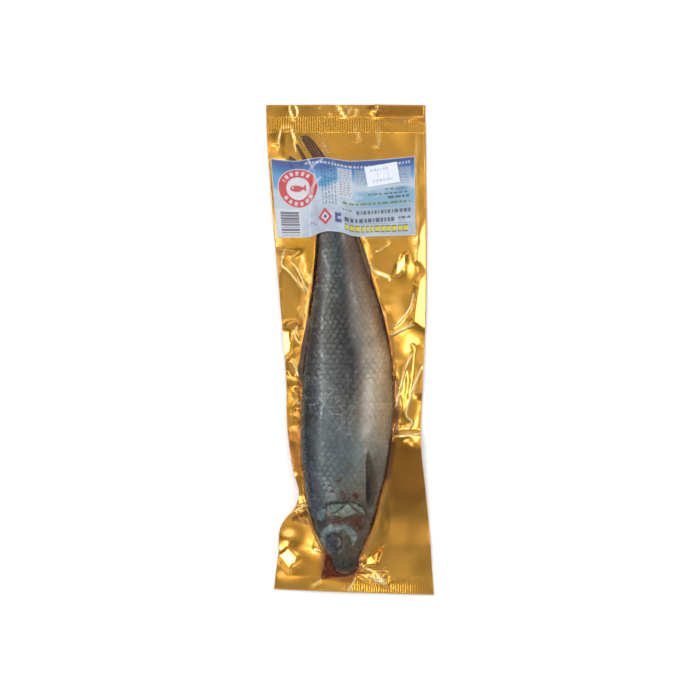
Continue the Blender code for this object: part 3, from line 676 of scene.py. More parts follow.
# Flat patches of the border: corners, anticlockwise, how flat, how soft their edges, and the place in
# metres that each one mirrors to the camera. The real tilts can't be measured in one photo: these are set
# so that a light or a dim part of the studio shows where the photo has a bright or a dark patch.
EAST_BOX, NORTH_EAST_BOX, SOUTH_WEST_BOX = (0.80, 0.05, 1.0), (0.56, 0.78, 1.22), (-0.58, -0.73, 1.12)
DIM_SPOT, OVERHEAD = (0.25, -0.22, 1.3), (0.0, 0.0, 1.3)
FACETS = (
    (((32, -70), (30, -126), (66, -126), (64, -70)), 0.8, 7.0, (0.38, -0.42, 1.2)),
    (((-57, 76), (-56, 20), (-39, 20), (-37, 76)), 0.9, 4.0, DIM_SPOT),
    (((-51, -18), (-50, -98), (-37, -98), (-38, -18)), 0.6, 3.0, OVERHEAD),
    (((18, 184), (68, 181), (68, 199), (18, 199)), 0.85, 4.0, (0.40, -0.12, 1.2)),
    (((47, -36), (64, -36), (64, 3), (50, 3)), 0.7, 3.0, OVERHEAD),
    (((48.5, 22), (64, 12), (66, 64), (52.0, 54)), 1.0, 2.6, EAST_BOX),
    (((51.5, 70), (64, 60), (66, 118), (54.0, 96)), 0.9, 2.4, EAST_BOX),
    (((34.0, 58.5), (39, 58.5), (45, 68.5), (44.5, 77), (41, 75), (36, 67)), 1.0, 1.2, NORTH_EAST_BOX),
    (((2.5, -173.5), (21, -168.5), (25, -155.5)), 1.0, 1.0, NORTH_EAST_BOX),
    (((5.5, -175.5), (17.4, -185.3), (30.4, -186.9), (28.9, -175.4)), 1.0, 1.0, SOUTH_WEST_BOX),
    (((-57, -162.7), (-48.2, -175.6), (-40, -162.7), (-49, -154.6)), 1.0, 1.6, SOUTH_WEST_BOX),
    (((-57.3, 17.8), (-54, -10.9), (-46.2, -1), (-47, 15.4)), 1.0, 1.2, SOUTH_WEST_BOX),
)
# how pale the sharp creases are painted: crazing and painted highlight
CREASE_PALENESS = 0.95
wave = Noise(41)
pucker = Noise(57)


def crease_distance(x, y, path):
    return path_distance(x, y, curve_through(path, 6) if len(path) > 2 else path)


def crease_height(x, y, path, width, height, power):
    """A ridge or a round fold, lower at its ends; a sharp one is steep on one side only."""
    away, along, side = crease_distance(x, y, path)
    ends = step(0, 0.2, along) * step(1, 0.8, along)
    if power == SHARP:
        width = np.where(side > 0, 0.5 * width, 2.6 * width)
    return height * (0.2 + 0.8 * ends) * np.exp(-((away / width) ** power))


def crease_share(x, y):
    """1 on the sharp creases, which are pale: crazing of the metal, with a painted highlight along them."""
    share = np.zeros(x.shape)
    for path, width, height, power in CREASES:
        if power == SHARP:
            away, along, _ = crease_distance(x, y, path)
            faded = step(0, 0.15, along) * step(1, 0.85, along) * np.clip(height / 1.4, 0.3, 1)
            share = np.maximum(share, faded * step(1.3, 0.4, away / (0.5 + 0.4 * width)))
    return share * (0.8 + 0.2 * np.clip(pucker(x + 11, y, 3.0, 2), -1, 1))


def faced(x, y, height, corners, flat, soft, target):
    """Flattens a patch of the border, tilted so that it mirrors a place in metres to the camera."""
    share = flat * step(-soft, soft, depth_inside(x, y, corners) + 0.2 * soft * pucker(x, y, 5))
    centre_x, centre_y = np.mean(corners, axis=0)
    here = Vector((centre_x, centre_y, 0)) * MM
    facing = (Vector(target) - here).normalized() + (Vector((0, 0, CAMERA_HEIGHT)) - here).normalized()
    level = (height * share).sum() / share.sum()
    plane = level - (facing.x * (x - centre_x) + facing.y * (y - centre_y)) / facing.z
    return height * (1 - share) + plane * share


def border_height(x, y):
    """Height of the sealed border: its slope, swells, waves and creases."""
    centre, half = mound_at(y)
    left = x < centre
    start = np.where(left, centre - half, centre + half)
    edge = np.where(left, left_edge(y), right_edge(y))
    straight = np.clip((x - start) / (edge - start), 0, 1)
    outwards = 0.35 * step(0, 1, straight) + 0.65 * straight
    height = border_at_fish(y) * (1 - outwards) + border_at_edge(y) * outwards
    height += np.where(left, 0.8 * (2 * outwards - 1) * step(25, 10, y) * step(-125, -100, y), 0)
    below_ridge = step(22, 32, x) * step(-62, -68, y) * step(-155, -125, y)
    height += (0.08 * (y + 100) - 0.03 * (x - 45)) * below_ridge
    for swell_x, swell_y, wide, long, lift in SWELLS:
        height += lift * np.exp(-((x - swell_x) / wide) ** 2 - ((y - swell_y) / long) ** 2)
    calm = np.maximum(np.maximum(step(45, 75, y), step(-52, -78, y)), step(12, 22, y) * left)
    height += (0.9 * wave(x * 1.3, y, 30) + (0.35 - 0.25 * calm) * wave(x, y, 11)) * (1 - 0.85 * below_ridge)
    for facet in FACETS:
        height = faced(x, y, height, *facet)
    for path, width, lift, power in CREASES:
        height += crease_height(x, y, path, width, 0.6 * lift, power)
    beside = np.minimum(np.abs(x - centre) - half, 20)
    near = step(18, 1, beside) * step(-8, 0, beside) * (1 - 0.8 * calm)
    height += near * (0.32 * pucker(x * 0.35, y, 6.0) + 0.09 * pucker(x * 0.5 + 40, y, 2.6))
    return height


def relax(height, low, high, pull, rounds):
    """Draws a sheet tight between a lower and an upper limit, with a steady pull down."""
    for _ in range(rounds):
        mean = height.copy()
        mean[1:-1, 1:-1] = (height[:-2, 1:-1] + height[2:, 1:-1] + height[1:-1, :-2] + height[1:-1, 2:]) / 4
        height = np.clip(mean - pull, low, high)
    return height


def skin_heights(trees, x, y, side):
    """Height of the pieces' highest (side 1) or lowest (side -1) skin, or NaN beside them."""
    found = np.full(x.shape, np.nan)
    pick = np.fmax if side > 0 else np.fmin
    way = Vector((0, 0, -side))
    for tree in trees:
        hits = [tree.ray_cast(Vector((a * MM, b * MM, side)), way)[0] for a, b in zip(x.ravel(), y.ravel())]
        heights = np.array([math.nan if hit is None else hit.z / MM for hit in hits]).reshape(x.shape)
        found = pick(found, heights)
    return found


def widened(height, spread, side):
    """Grows an obstacle by a few cells, so that a sheet clears it between grid points too."""
    pick = np.fmax if side > 0 else np.fmin
    for _ in range(spread):
        grown = height.copy()
        grown[1:] = pick(grown[1:], height[:-1])
        grown[:-1] = pick(grown[:-1], height[1:])
        grown[:, 1:] = pick(grown[:, 1:], height[:, :-1])
        grown[:, :-1] = pick(grown[:, :-1], height[:, 1:])
        height = grown
    return height


def web_heights(trees, x, y):
    """Heights of the foil's top and of the film's underside over the grid."""
    below = widened(skin_heights(trees, x, y, side=-1), 1, side=-1)
    cup = np.where(np.isnan(below), np.inf, below - CLEARANCE)
    border = np.maximum(border_height(x, y), FOIL_THICKNESS)
    foil = np.minimum(border, cup)
    smooth = relax(foil, FOIL_THICKNESS, cup, 0.0, CUP_ROUNDS)
    near = np.isfinite(widened(np.where(np.isnan(below), np.nan, 1.0), 3, side=1))
    foil = np.where(near, smooth, foil)
    above = widened(skin_heights(trees, x, y, side=1), 1, side=1)
    low = np.fmax(above + CLEARANCE, foil + CLEARANCE)
    film = relax(low, low, np.inf, FILM_PULL, FILM_ROUNDS)
    return foil, film


def distance_to_fish(x, y):
    """Distance outside the fish's outline, negative inside it."""
    s, d = on_fish(x, y)
    outside = np.abs(d) - half_depth(s)
    snout_y, snout_x = SPINE[0]
    past_snout = np.hypot(x - snout_x, y - snout_y) - half_depth(0)
    outside = np.where(y < snout_y, past_snout, outside)
    return np.where(y > 118, np.abs(x - mound_at(y)[0]) - 8, outside)


def foil_colour(x, y):
    """Gold, browner where brine and oil lie between the webs, with painted shade and highlights; the fourth
    value is the share of crazing.
    """
    gold = np.broadcast_to(rgb(243, 180, 62), x.shape + (3,))
    gold = mix(gold, rgb(234, 168, 58), 0.5 + 0.5 * wave(x, y, 22, 2))
    # three darker gold patches: painted shade
    deep = step(1.0, 0.55, np.hypot((x - 46) / 26, (y + 98) / 34)) * step(24, 34, x)
    deep = np.maximum(deep, 0.8 * step(1.0, 0.6, np.hypot((x - 48) / 36, (y - 190) / 14)))
    deep = np.maximum(deep, 0.5 * step(1.0, 0.5, np.hypot((x + 32) / 12, (y + 172) / 14)))
    gold = mix(gold, rgb(206, 138, 40), 0.95 * deep)
    away = distance_to_fish(x, y)
    wet = step(5.0, 0.5, away + 1.5 * wave(x, y, 9)) * step(150, 110, y)
    gold = mix(gold, rgb(184, 98, 34), 0.75 * wet)
    left_stain = step(9, 2, np.hypot((x + 46) * 0.8, (y + 85) / 5))
    gold = mix(gold, rgb(222, 140, 66), 0.6 * left_stain)
    # dark folds beside the fish: painted shade
    fold = near_path(x, y, ((-44, -133), (-35, -128), (-33, -136), (-40, -134)), 3.0, 0.8)
    gold = mix(gold, rgb(128, 74, 30), 0.75 * fold)
    # a dark crevice between the fish and the foil, and a dark patch beside the fin: painted shade
    crevice = near_path(x, y, ((35, -22), (37, -45), (36, -66)), 3.0, 0.8)
    crevice = np.maximum(crevice, near_path(x, y, ((33, -74), (29, -100)), 4.0, 1.0))
    gold = mix(gold, rgb(110, 58, 24), 0.8 * crevice)
    pool = near_path(x, y, ((-19, -165), (-19, -176), (-6, -177), (4, -172)), 7, 2)
    gold = mix(gold, rgb(178, 100, 54), 0.85 * pool)
    # pale along the sharp creases: crazing of the metal, and painted highlight
    crazing_and_highlight = CREASE_PALENESS * crease_share(x, y)
    return np.concatenate([mix(gold, rgb(252, 232, 164), crazing_and_highlight), crazing_and_highlight[..., None]], axis=-1)


def make_webs(trees):
    """The backing foil and the front film, each a closed thin sheet."""
    x, y = web_plan()
    foil, film = web_heights(trees, x, y)
    top = np.stack([x, y, foil], axis=-1)
    bottom = np.stack([x, y, foil - FOIL_THICKNESS], axis=-1)
    backing = closed_sheet("gold_foil", top, bottom, foil_colour(x, y))
    under = np.stack([x, y, film], axis=-1)
    over = np.stack([x, y, film + FILM_THICKNESS], axis=-1)
    front = closed_sheet("clear_film", over, under)
    return backing, front


# -------- label and sticker


LABEL_WIDE, LABEL_TALL = 114, 63
LABEL_PULL, LABEL_ROUNDS = 0.01, 30
# How far the label's upper and lower edges wander from straight, by the distance along them
LABEL_TOP_WAVE = Profile((
    (0, 0), (12, -2.0), (22, -2.5), (30, -1.2), (36, -0.3), (44, -0.3), (52, -1.6), (60, -2.9), (76, -2.8),
    (92, -1.9), (105, -0.8), (114, 0),
))
LABEL_BOTTOM_WAVE = Profile((
    (0, 0), (15, -0.3), (28, 0), (35, 2.5), (40, 3.7), (48, 3.4), (55, 2.1), (61, 0), (67, -0.8),
    (82, -0.7), (98, -0.5), (114, 0),
))
# Creases pressed into the label: path, width and height
LABEL_CREASES = (
    (((-34, 152), (-28, 138), (-30, 122), (-32, 104), (-31, 89)), 0.9, 0.5),
    (((-23, 136), (-30, 128), (-33, 118)), 0.8, 0.4),
    (((-22, 150), (-28, 146), (-33, 140)), 0.8, 0.35),
)
BADGE, BADGE_RADIUS = (20.2, 40.0), 15.6
# Widths of the bars and of the gaps above them
BARS = (
    (0.5, 1.3), (0.9, 0.9), (1.9, 0.8), (0.8, 0.9), (1.5, 0.5), (0.9, 0.4), (1.3, 0.4), (1.9, 0.5),
    (1.6, 0.4), (1.8, 0.6),
)


def four_corner_plan(corners, columns, rows):
    """A grid between four corners, anticlockwise from the lower left."""
    a, b, c, d = (np.array(corner, float) for corner in corners)
    u = np.linspace(0, 1, columns)[None, :, None]
    v = np.linspace(0, 1, rows)[:, None, None]
    plan = (a * (1 - u) + b * u) * (1 - v) + (d * (1 - u) + c * u) * v
    return plan[..., 0], plan[..., 1]


def box_mask(u, v, left, low, right, high, soft=0.25):
    """1 inside an upright rectangle."""
    return math.prod(step(-soft, soft, inside) for inside in (u - left, right - u, v - low, high - v))


def dashes(u, v, left, right, line, tall, seed, word=3.2):
    """A line of dashes of uneven length in place of words."""
    random = np.random.default_rng(seed)
    mask = np.zeros(u.shape)
    at = left
    while at < right - 1:
        wide = min(random.uniform(0.5, 1.5) * word, right - at)
        mask = np.maximum(mask, box_mask(u, v, at, line - tall / 2, at + wide, line + tall / 2))
        at += wide + random.uniform(0.8, 1.3)
    return mask


def badge_print(colour, u, v, white):
    """A plain red ring badge: a fish on a white disc, and dashes round the ring."""
    red = rgb(204, 66, 70)
    along, across = u - BADGE[0], v - BADGE[1]
    away, turn = np.hypot(along, across), np.arctan2(across, along)
    colour = mix(colour, white, step(BADGE_RADIUS + 0.8, BADGE_RADIUS + 0.3, away))
    colour = mix(colour, red, step(BADGE_RADIUS + 0.2, BADGE_RADIUS - 0.3, away))
    ring = step(10.8, 11.2, away) * step(14.2, 13.8, away)
    words = step(0.55, 0.62, np.abs(turn)) * step(2.7, 2.6, np.abs(turn))
    words = words * step(-0.35, 0.1, np.sin(turn * 17))
    colour = mix(colour, white, 0.85 * ring * words)
    colour = mix(colour, white, step(9.5, 9.1, away))
    half_tall = 3.0 * np.sqrt(np.maximum(0, 1 - ((along + 1.2) / 5.4) ** 2)) - 0.3
    body = step(0.3, -0.2, np.abs(across) - half_tall) * step(-6.2, -6.0, along)
    fin = step(0.3, -0.2, np.abs(across) - 0.85 * (along - 3.0))
    fin = fin * step(6.6, 6.2, along) * step(2.8, 3.2, along)
    colour = mix(colour, red, np.maximum(body, fin))
    return mix(colour, white, step(0.9, 0.5, np.hypot(along + 4, across - 0.6)))


def label_sky(u, v):
    """The label's plain picture: dark sky over a pale cloud band, over blue sea."""
    sky = Noise(71)
    height = v / LABEL_TALL + 0.03 * sky(u, v, 14)
    navy, deep, blue = rgb(62, 88, 150), rgb(66, 112, 172), rgb(96, 158, 204)
    pale, sea, lower = rgb(190, 206, 220), rgb(136, 178, 206), rgb(176, 190, 208)
    colour = mix(np.broadcast_to(lower, u.shape + (3,)), sea, step(0.30, 0.44, height) * step(52, 70, u))
    colour = mix(colour, pale, step(0.30, 0.42, height) * step(66, 46, u))
    colour = mix(colour, pale, step(0.56, 0.62, height) * step(50, 64, u))
    sky_start = 0.66 - 0.18 * step(60, 34, u) * (1 - 0.5 * step(34, 20, u))
    colour = mix(colour, blue, step(sky_start, sky_start + 0.12, height))
    colour = mix(colour, deep, step(0.76, 0.90, height))
    colour = mix(colour, navy, step(0.88, 0.95, height))
    cloud = step(0.10, 0.7, sky(u, v * 1.6, 11, 3)) * step(0.86, 0.6, height)
    colour = mix(colour, rgb(206, 216, 226), 0.55 * cloud)
    patch = step(0.0, 0.6, 0.7 - np.hypot((u - 103) / 13, (v - 38.5) / 3.6))
    colour = mix(colour, rgb(72, 122, 170), 0.8 * patch)
    violet = step(0, 0.6, 0.8 - np.hypot((u - 104) / 9, (v - 52) / 7))
    return mix(colour, rgb(128, 120, 172), 0.45 * violet)


def bars_print(colour, u, v, white):
    """Bars of uneven width on a white field."""
    colour = mix(colour, white, 0.9 * box_mask(u, v, 0.5, 0.5, 20.8, 23.2))
    bars = np.zeros(u.shape)
    at = 1.6
    for wide, gap in BARS:
        bars = np.maximum(bars, box_mask(u, v, 4.5, at, 19.4, at + wide, 0.15))
        at += wide + gap
    return mix(colour, rgb(82, 84, 98), 0.9 * bars)


def shapes_print(colour, u, v, white):
    """Three plain shapes where the lower band is pale: a wave, a lozenge and a block."""
    lozenge = np.abs(u - 40.5) / 5.6 + np.abs(v - 12.8) / 7.2
    colour = mix(colour, rgb(206, 62, 66), step(1.06, 0.98, lozenge))
    colour = mix(colour, white, step(0.62, 0.54, lozenge))
    colour = mix(colour, rgb(50, 62, 140), step(0.32, 0.22, lozenge))
    block = box_mask(u, v, 48.4, 8.4, 53.6, 16.8, 0.3) * (1 - box_mask(u, v, 50.6, 11.6, 54, 13.6, 0.3))
    colour = mix(colour, rgb(56, 56, 128), 0.9 * block)
    wave_line = 9.0 + 1.8 * np.sin((u - 27) / 1.5)
    strip = step(1.2, 0.5, np.abs(v - wave_line)) * step(26.4, 27, u) * step(34.2, 33.6, u)
    return mix(colour, rgb(178, 132, 176), 0.85 * strip)


def label_print(u, v):
    """The label's generic print: sky and sea, badge, bars, plain shapes, rules and dashes. u, v in mm."""
    white, ink, blue_ink = rgb(214, 218, 226), rgb(66, 66, 76), rgb(40, 52, 104)
    colour = label_sky(u, v)
    tilt = 1.2 * np.sin(u / 114 * 2 * math.pi + 0.6)
    colour = mix(colour, white, 0.75 * dashes(u, v - tilt, 27, 110, 58.6, 1.8, 1, 1.9))
    colour = badge_print(colour, u, v, white)
    colour = bars_print(colour, u, v, white)
    colour = shapes_print(colour, u, v, white)
    for i in range(5):
        colour = mix(colour, blue_ink, 0.6 * dashes(v, u, 23.5, 56.5, 39.6 + 2.55 * i, 1.2, 20 + i, 2.2))
    colour = mix(colour, white, 0.72 * box_mask(u, v, 52.6, 31.5, 63.6, 55.6))
    for i in range(11):
        colour = mix(colour, ink, 0.55 * dashes(u, v, 53.4, 62.8, 54 - 2.05 * i, 1.1, 40 + i, 1.8))
    colour = mix(colour, white, 0.40 * box_mask(u, v, 66, 42.6, 110.5, 55.2))
    for i in range(5):
        line = box_mask(u, v, 66, 42.6 + 2.5 * i, 110.5, 43 + 2.5 * i, 0.2)
        colour = mix(colour, rgb(96, 124, 172), 0.7 * line)
        colour = mix(colour, blue_ink, 0.5 * dashes(u, v, 67, 109, 44.2 + 2.5 * i, 1.0, 60 + i, 2.4))
    olive = rgb(112, 116, 52)
    for line, left, right, tall, word, tone in (
        (38.4, 90, 98, 1.2, 2.4, ink), (34.6, 76, 110, 1.3, 2.6, ink), (31.4, 92, 110, 2.0, 3.4, ink),
        (27.0, 55, 110, 2.0, 4.5, olive), (20.0, 66, 110, 3.1, 2.2, ink), (21.4, 55, 64, 1.2, 2.4, ink),
        (13.4, 56, 98, 3.4, 2.6, rgb(36, 36, 46)), (14.2, 100, 110, 1.8, 3.0, ink),
    ):
        slope = 1.6 * (u - 82) / 56
        colour = mix(colour, tone, 0.8 * dashes(u, v - slope, left, right, line, tall, int(line * 10), word))
    for rule in (24.0, 10.2):
        colour = mix(colour, rgb(120, 136, 170), 0.7 * box_mask(u, v, 55, rule, 110, rule + 0.45, 0.2))
    colour = mix(colour, rgb(74, 70, 34), 0.85 * dashes(u, v, 56, 109.5, 6.2, 5.4, 91, 3.0))
    colour = mix(colour, rgb(222, 208, 50), 0.95 * dashes(u, v, 56.4, 109.1, 6.2, 3.6, 91, 3.0))
    border = np.minimum(np.minimum(u, LABEL_WIDE - u), np.minimum(v, LABEL_TALL - v))
    return mix(white, colour, step(0.25, 0.7, border)) * 0.70


def over(trees, x, y, thickness, lift):
    """Top and bottom grids of a thin piece laid on other pieces."""
    base = widened(skin_heights(trees, x, y, side=1), 1, side=1) + lift
    base = relax(base, base, np.inf, LABEL_PULL, LABEL_ROUNDS)
    return np.stack([x, y, base + thickness], axis=-1), np.stack([x, y, base], axis=-1)


def make_label(tree):
    """The label, laid on the film, with its creases pressed in, and the print pale along them: crazing and
    painted highlight.
    """
    columns, rows = 250, 138
    x, y = four_corner_plan(LABEL_CORNERS, columns, rows)
    u = np.broadcast_to(np.linspace(0, LABEL_WIDE, columns)[None, :], x.shape)
    v = np.broadcast_to(np.linspace(0, LABEL_TALL, rows)[:, None], x.shape)
    y = y + LABEL_TOP_WAVE(u) * v / LABEL_TALL + LABEL_BOTTOM_WAVE(u) * (1 - v / LABEL_TALL)
    top, bottom = over([tree], x, y, 0.12, 0.10)
    for path, width, height in LABEL_CREASES:
        top[..., 2] += height * np.exp(-path_distance(x, y, curve_through(path))[0] / width)
    colour = label_print(u, v)
    # pale along the creases: crazing of the print, and painted highlight
    for path, _, _ in LABEL_CREASES:
        crazing_and_highlight = near_path(x, y, curve_through(path), 1.5, 0.2)
        colour = mix(colour, rgb(204, 210, 220), 0.5 * crazing_and_highlight * (0.6 + 0.4 * pucker(x, y, 5)))
    return closed_sheet("printed_label_film", top, bottom, colour)


def make_sticker(tree):
    """The paper sticker, laid on the label, its ends lifting a little."""
    columns, rows = 105, 65
    cos, sin = math.cos(STICKER_TURN), math.sin(STICKER_TURN)
    half_w, half_h = STICKER_SIZE[0] / 2, STICKER_SIZE[1] / 2
    u, v = np.meshgrid(np.linspace(-half_w, half_w, columns), np.linspace(-half_h, half_h, rows))
    x = STICKER_CENTRE[0] + u * cos - v * sin
    y = STICKER_CENTRE[1] + u * sin + v * cos
    top, bottom = over([tree], x, y, 0.12, 0.08)
    curl = 0.35 * step(0.6, 1.0, np.abs(u) / half_w) ** 2 + 0.2 * step(0.6, 1.0, -v / half_h) ** 2
    top[..., 2] += curl
    bottom[..., 2] += curl
    colour = np.broadcast_to(rgb(206, 212, 222), u.shape + (3,))
    grey = rgb(150, 152, 168)
    colour = mix(colour, grey, 0.7 * dashes(u, v, -9, 6, 4.4, 1.7, 7, 1.5))
    colour = mix(colour, grey, 0.7 * dashes(u, v, -8, 8, -4.2, 1.7, 8, 1.5))
    for cut_u in (-4.2, 4.2):
        cut = step(0.22, 0.08, np.abs(u - cut_u - 0.9 * np.cos(v / 2.6))) * step(7.2, 6.4, np.abs(v))
        colour = mix(colour, rgb(120, 124, 140), 0.6 * cut)
    return closed_sheet("date_sticker_paper", top, bottom, colour)


# -------- brine

# The pool's outer bank and the snout's side that it lies against
BRINE_OUTER = (
    (-18.8, -160.5), (-21.0, -172), (-22.2, -180), (-13, -179.2), (-4, -178.6), (4, -175.5), (7.4, -169.5),
)
BRINE_INNER = (
    (-15.4, -161.5), (-14.6, -166), (-12.8, -170.5), (-9.5, -174.8), (-3, -176.2), (2.5, -173.5),
    (6.2, -168.5),
)


def make_brine(foil_tree):
    """A low domed pool on the foil, beside the snout."""
    outer, inner = curve_through(BRINE_OUTER, 10), curve_through(BRINE_INNER, 10)
    t = np.linspace(0, 1, 12)[:, None, None]
    plan = inner[None] * (1 - t) + outer[None] * t
    x, y = plan[..., 0], plan[..., 1]
    base = skin_heights([foil_tree], x, y, side=1) + 0.05
    dome = 1.1 * np.sqrt(np.clip(np.sin(math.pi * np.clip(t[..., 0], 0.02, 0.98)), 0, 1)) + 0.1
    top = np.stack([x, y, base + dome], axis=-1)
    bottom = np.stack([x, y, base], axis=-1)
    return closed_sheet("brine_pool", top[::-1], bottom[::-1])


# -------- materials


class Nodes:
    """Builds the nodes of a material or of the world. A setting is the node's own value or the constant of
    one of its inputs; links give inputs another node's output."""

    def __init__(self, tree):
        self.tree = tree

    def add(self, kind, links=(), **settings):
        made = self.tree.nodes.new("ShaderNode" + kind)
        for name, value in settings.items():
            if hasattr(made, name):
                setattr(made, name, value)
            else:
                made.inputs[name.replace("_", " ")].default_value = value
        for name, value in dict(links).items():
            self.tree.links.new(value, made.inputs[name])
        return made

    def result(self, kind, links=(), **settings):
        """The first output of a new node."""
        return self.add(kind, links, **settings).outputs[0]

    def math(self, operation, *values):
        """A sum, product and so on; each value is a float or another node's output."""
        made = self.add("Math", operation=operation)
        for value, socket in zip(values, made.inputs):
            if isinstance(value, float):
                socket.default_value = value
            else:
                self.tree.links.new(value, socket)
        return made.outputs[0]

    def place(self):
        return self.add("TexCoord").outputs["Object"]

    def tint(self, output="Color"):
        """The colour of the mesh's points, or with "Alpha" the share in its fourth value."""
        return self.add("Attribute", attribute_name="tint").outputs[output]

    def noise(self, place, scale, detail):
        return self.result("TexNoise", {"Vector": place}, Scale=scale, Detail=detail)

    def ranged(self, value, low, high):
        """A value from 0 to 1 brought to low to high."""
        return self.result("MapRange", {"Value": value}, To_Min=low, To_Max=high)

    def faded(self, value, start, end, low=0.0, high=1.0):
        """low up to start and high from end, smooth between. start may be above end."""
        return self.result(
            "MapRange", {"Value": value}, interpolation_type="SMOOTHSTEP", From_Min=start, From_Max=end,
            To_Min=low, To_Max=high,
        )

    def bumped(self, height, strength, distance, links=()):
        return self.result("Bump", {"Height": height, **dict(links)}, Strength=strength, Distance=distance)

    def toned(self, factor):
        """The mesh's colour made lighter or darker by a factor."""
        return self.result("VectorMath", {0: self.tint(), "Scale": factor}, operation="SCALE")


def finished(name, shader):
    """A material made of what the shader function builds."""
    material = bpy.data.materials.new(name)
    material.use_nodes = True
    material.node_tree.nodes.clear()
    nodes = Nodes(material.node_tree)
    nodes.add("OutputMaterial", {"Surface": shader(nodes)})
    return material


def skin_shader(nodes):
    """Wet skin, whose silvery scales mirror the light."""
    place = nodes.place()
    return nodes.result("BsdfPrincipled", {
        "Base Color": nodes.toned(nodes.ranged(nodes.noise(place, 900, 2), 0.78, 1.22)),
        "Metallic": nodes.ranged(nodes.tint("Alpha"), 0.15, 0.95),
        "Roughness": nodes.ranged(nodes.noise(place, 260, 3), 0.18, 0.36),
        "Normal": nodes.bumped(nodes.noise(place, 1400, 2), 0.35, 0.0002),
    }, Specular_IOR_Level=0.40)


def fin_shader(nodes):
    grain = nodes.noise(nodes.place(), 700, 3)
    return nodes.result("BsdfPrincipled", {
        "Base Color": nodes.toned(nodes.ranged(grain, 0.7, 1.3)),
        "Roughness": nodes.ranged(grain, 0.3, 0.5),
    }, Specular_IOR_Level=0.40)


RIB_PITCH = 0.0019
# Welded ends of the pouch: from and to along it, and over how far their ribs fade, in metres
WELDS = ((0.172, 0.183, 0.0012), (-0.2, -0.181, 0.004))


def rib_height(nodes, place):
    """Fine upright ribs along the welded ends of the pouch, faded out elsewhere."""
    along = nodes.add("SeparateXYZ", {0: place}).outputs
    ribs = nodes.math("SINE", nodes.math("MULTIPLY", along["X"], 2 * math.pi / RIB_PITCH))
    bands = []
    for low, high, fade in WELDS:
        rise, fall = nodes.faded(along["Y"], low - fade, low), nodes.faded(along["Y"], high + fade, high)
        bands.append(nodes.math("MULTIPLY", rise, fall))
    return nodes.math("MULTIPLY", ribs, nodes.math("ADD", *bands))


def foil_shader(nodes):
    """Gold metallised film under a clear coat, less of a mirror along the creases, where the metal has
    crazing and its colour is painted pale as a highlight.
    """
    place = nodes.place()
    cloudy = nodes.noise(place, 60, 4)
    fine = nodes.bumped(nodes.noise(place, 200, 3), 0.16, 0.0003)
    return nodes.result("BsdfPrincipled", {
        "Base Color": nodes.toned(nodes.ranged(cloudy, 0.88, 1.1)),
        "Metallic": nodes.ranged(nodes.tint("Alpha"), 1.0, 0.25),
        "Roughness": nodes.ranged(cloudy, 0.2, 0.3),
        "Normal": nodes.bumped(rib_height(nodes, place), 1.0, 0.00012, {"Normal": fine}),
    }, Coat_Weight=0.8, Coat_Roughness=0.10)


def film_shader(nodes):
    """Clear film: what is under it shows, and its upper face reflects."""
    normal = nodes.bumped(nodes.noise(nodes.place(), 300, 2), 0.2, 0.0004)
    clear = nodes.result("BsdfTransparent", Color=(0.98, 0.98, 0.975, 1))
    gloss = nodes.result("BsdfGlossy", {"Normal": normal}, Roughness=0.13, Color=(0.36, 0.36, 0.36, 1))
    fresnel = nodes.result("Fresnel", {"Normal": normal}, IOR=1.45)
    front = nodes.math("SUBTRACT", 1.0, nodes.add("NewGeometry").outputs["Backfacing"])
    return nodes.result("MixShader", {0: nodes.math("MULTIPLY", fresnel, front), 1: clear, 2: gloss})


def print_shader(nodes, smoothest, roughest, fine_scale, bump):
    """Printed plastic or paper, coloured by the print on it."""
    grain = nodes.noise(nodes.place(), fine_scale, 3)
    return nodes.result("BsdfPrincipled", {
        "Base Color": nodes.toned(nodes.ranged(grain, 0.95, 1.05)),
        "Roughness": nodes.ranged(grain, smoothest, roughest),
        "Normal": nodes.bumped(grain, bump, 0.0002),
    })


def brine_shader(nodes):
    """Clear reddish liquid, cloudy in places."""
    tinted = nodes.add(
        "Mix", {"Factor": nodes.noise(nodes.place(), 180, 2)}, data_type="RGBA",
        A=(0.90, 0.76, 0.66, 1), B=(0.80, 0.62, 0.50, 1),
    )
    clear = nodes.result("BsdfTransparent", {"Color": tinted.outputs["Result"]})
    gloss = nodes.result("BsdfGlossy", Roughness=0.08, Color=(0.6, 0.6, 0.6, 1))
    return nodes.result("MixShader", {0: nodes.result("Fresnel", IOR=1.35), 1: clear, 2: gloss})


def floor_shader(nodes):
    pale = (0.92, 0.92, 0.92, 1)
    return nodes.result("BsdfPrincipled", Base_Color=pale, Roughness=0.9, Specular_IOR_Level=0.1)


# -------- stage

FLOOR_REACH = 3.0
# Softboxes: place, size, power, and whether they show in reflections; each faces the middle of the pouch
SOFTBOXES = (
    ((-0.72, 0.10, 1.08), (0.045, 2.40), 3.6, True),
    ((0.80, 0.05, 1.00), (0.40, 0.26), 2.2, True),
    ((0.58, 0.80, 1.25), (0.90, 0.90), 2.6, True),
    ((-0.62, -0.78, 1.20), (0.60, 0.60), 1.7, True),
    ((0.20, -0.95, 0.95), (0.50, 0.20), 0.6, True),
    ((-0.25, 0.95, 1.00), (0.60, 0.30), 1.0, True),
    ((0.56, 0.78, 1.22), (0.18, 0.18), 1.8, True),
    ((-0.58, -0.73, 1.12), (0.18, 0.18), 1.6, True),
    ((-0.30, 0.30, 1.70), (1.60, 1.60), 18.5, False),
)
# The dome's strength: overhead, in a dim ring round that, on the walls below, and added at the horizon
ZENITH, RING, WALLS, HORIZON = 0.54, 0.15, 0.36, 0.75
CAMERA_HEIGHT = 2.0
VIEW_WIDTH = 0.553


def make_floor():
    mesh = bpy.data.meshes.new("floor")
    corners = [(FLOOR_REACH * x, FLOOR_REACH * y, 0) for x, y in ((-1, -1), (1, -1), (1, 1), (-1, 1))]
    mesh.from_pydata(corners, [], [(0, 1, 2, 3)])
    floor = bpy.data.objects.new("floor", mesh)
    bpy.context.collection.objects.link(floor)
    mesh.materials.append(finished("pale_floor", floor_shader))


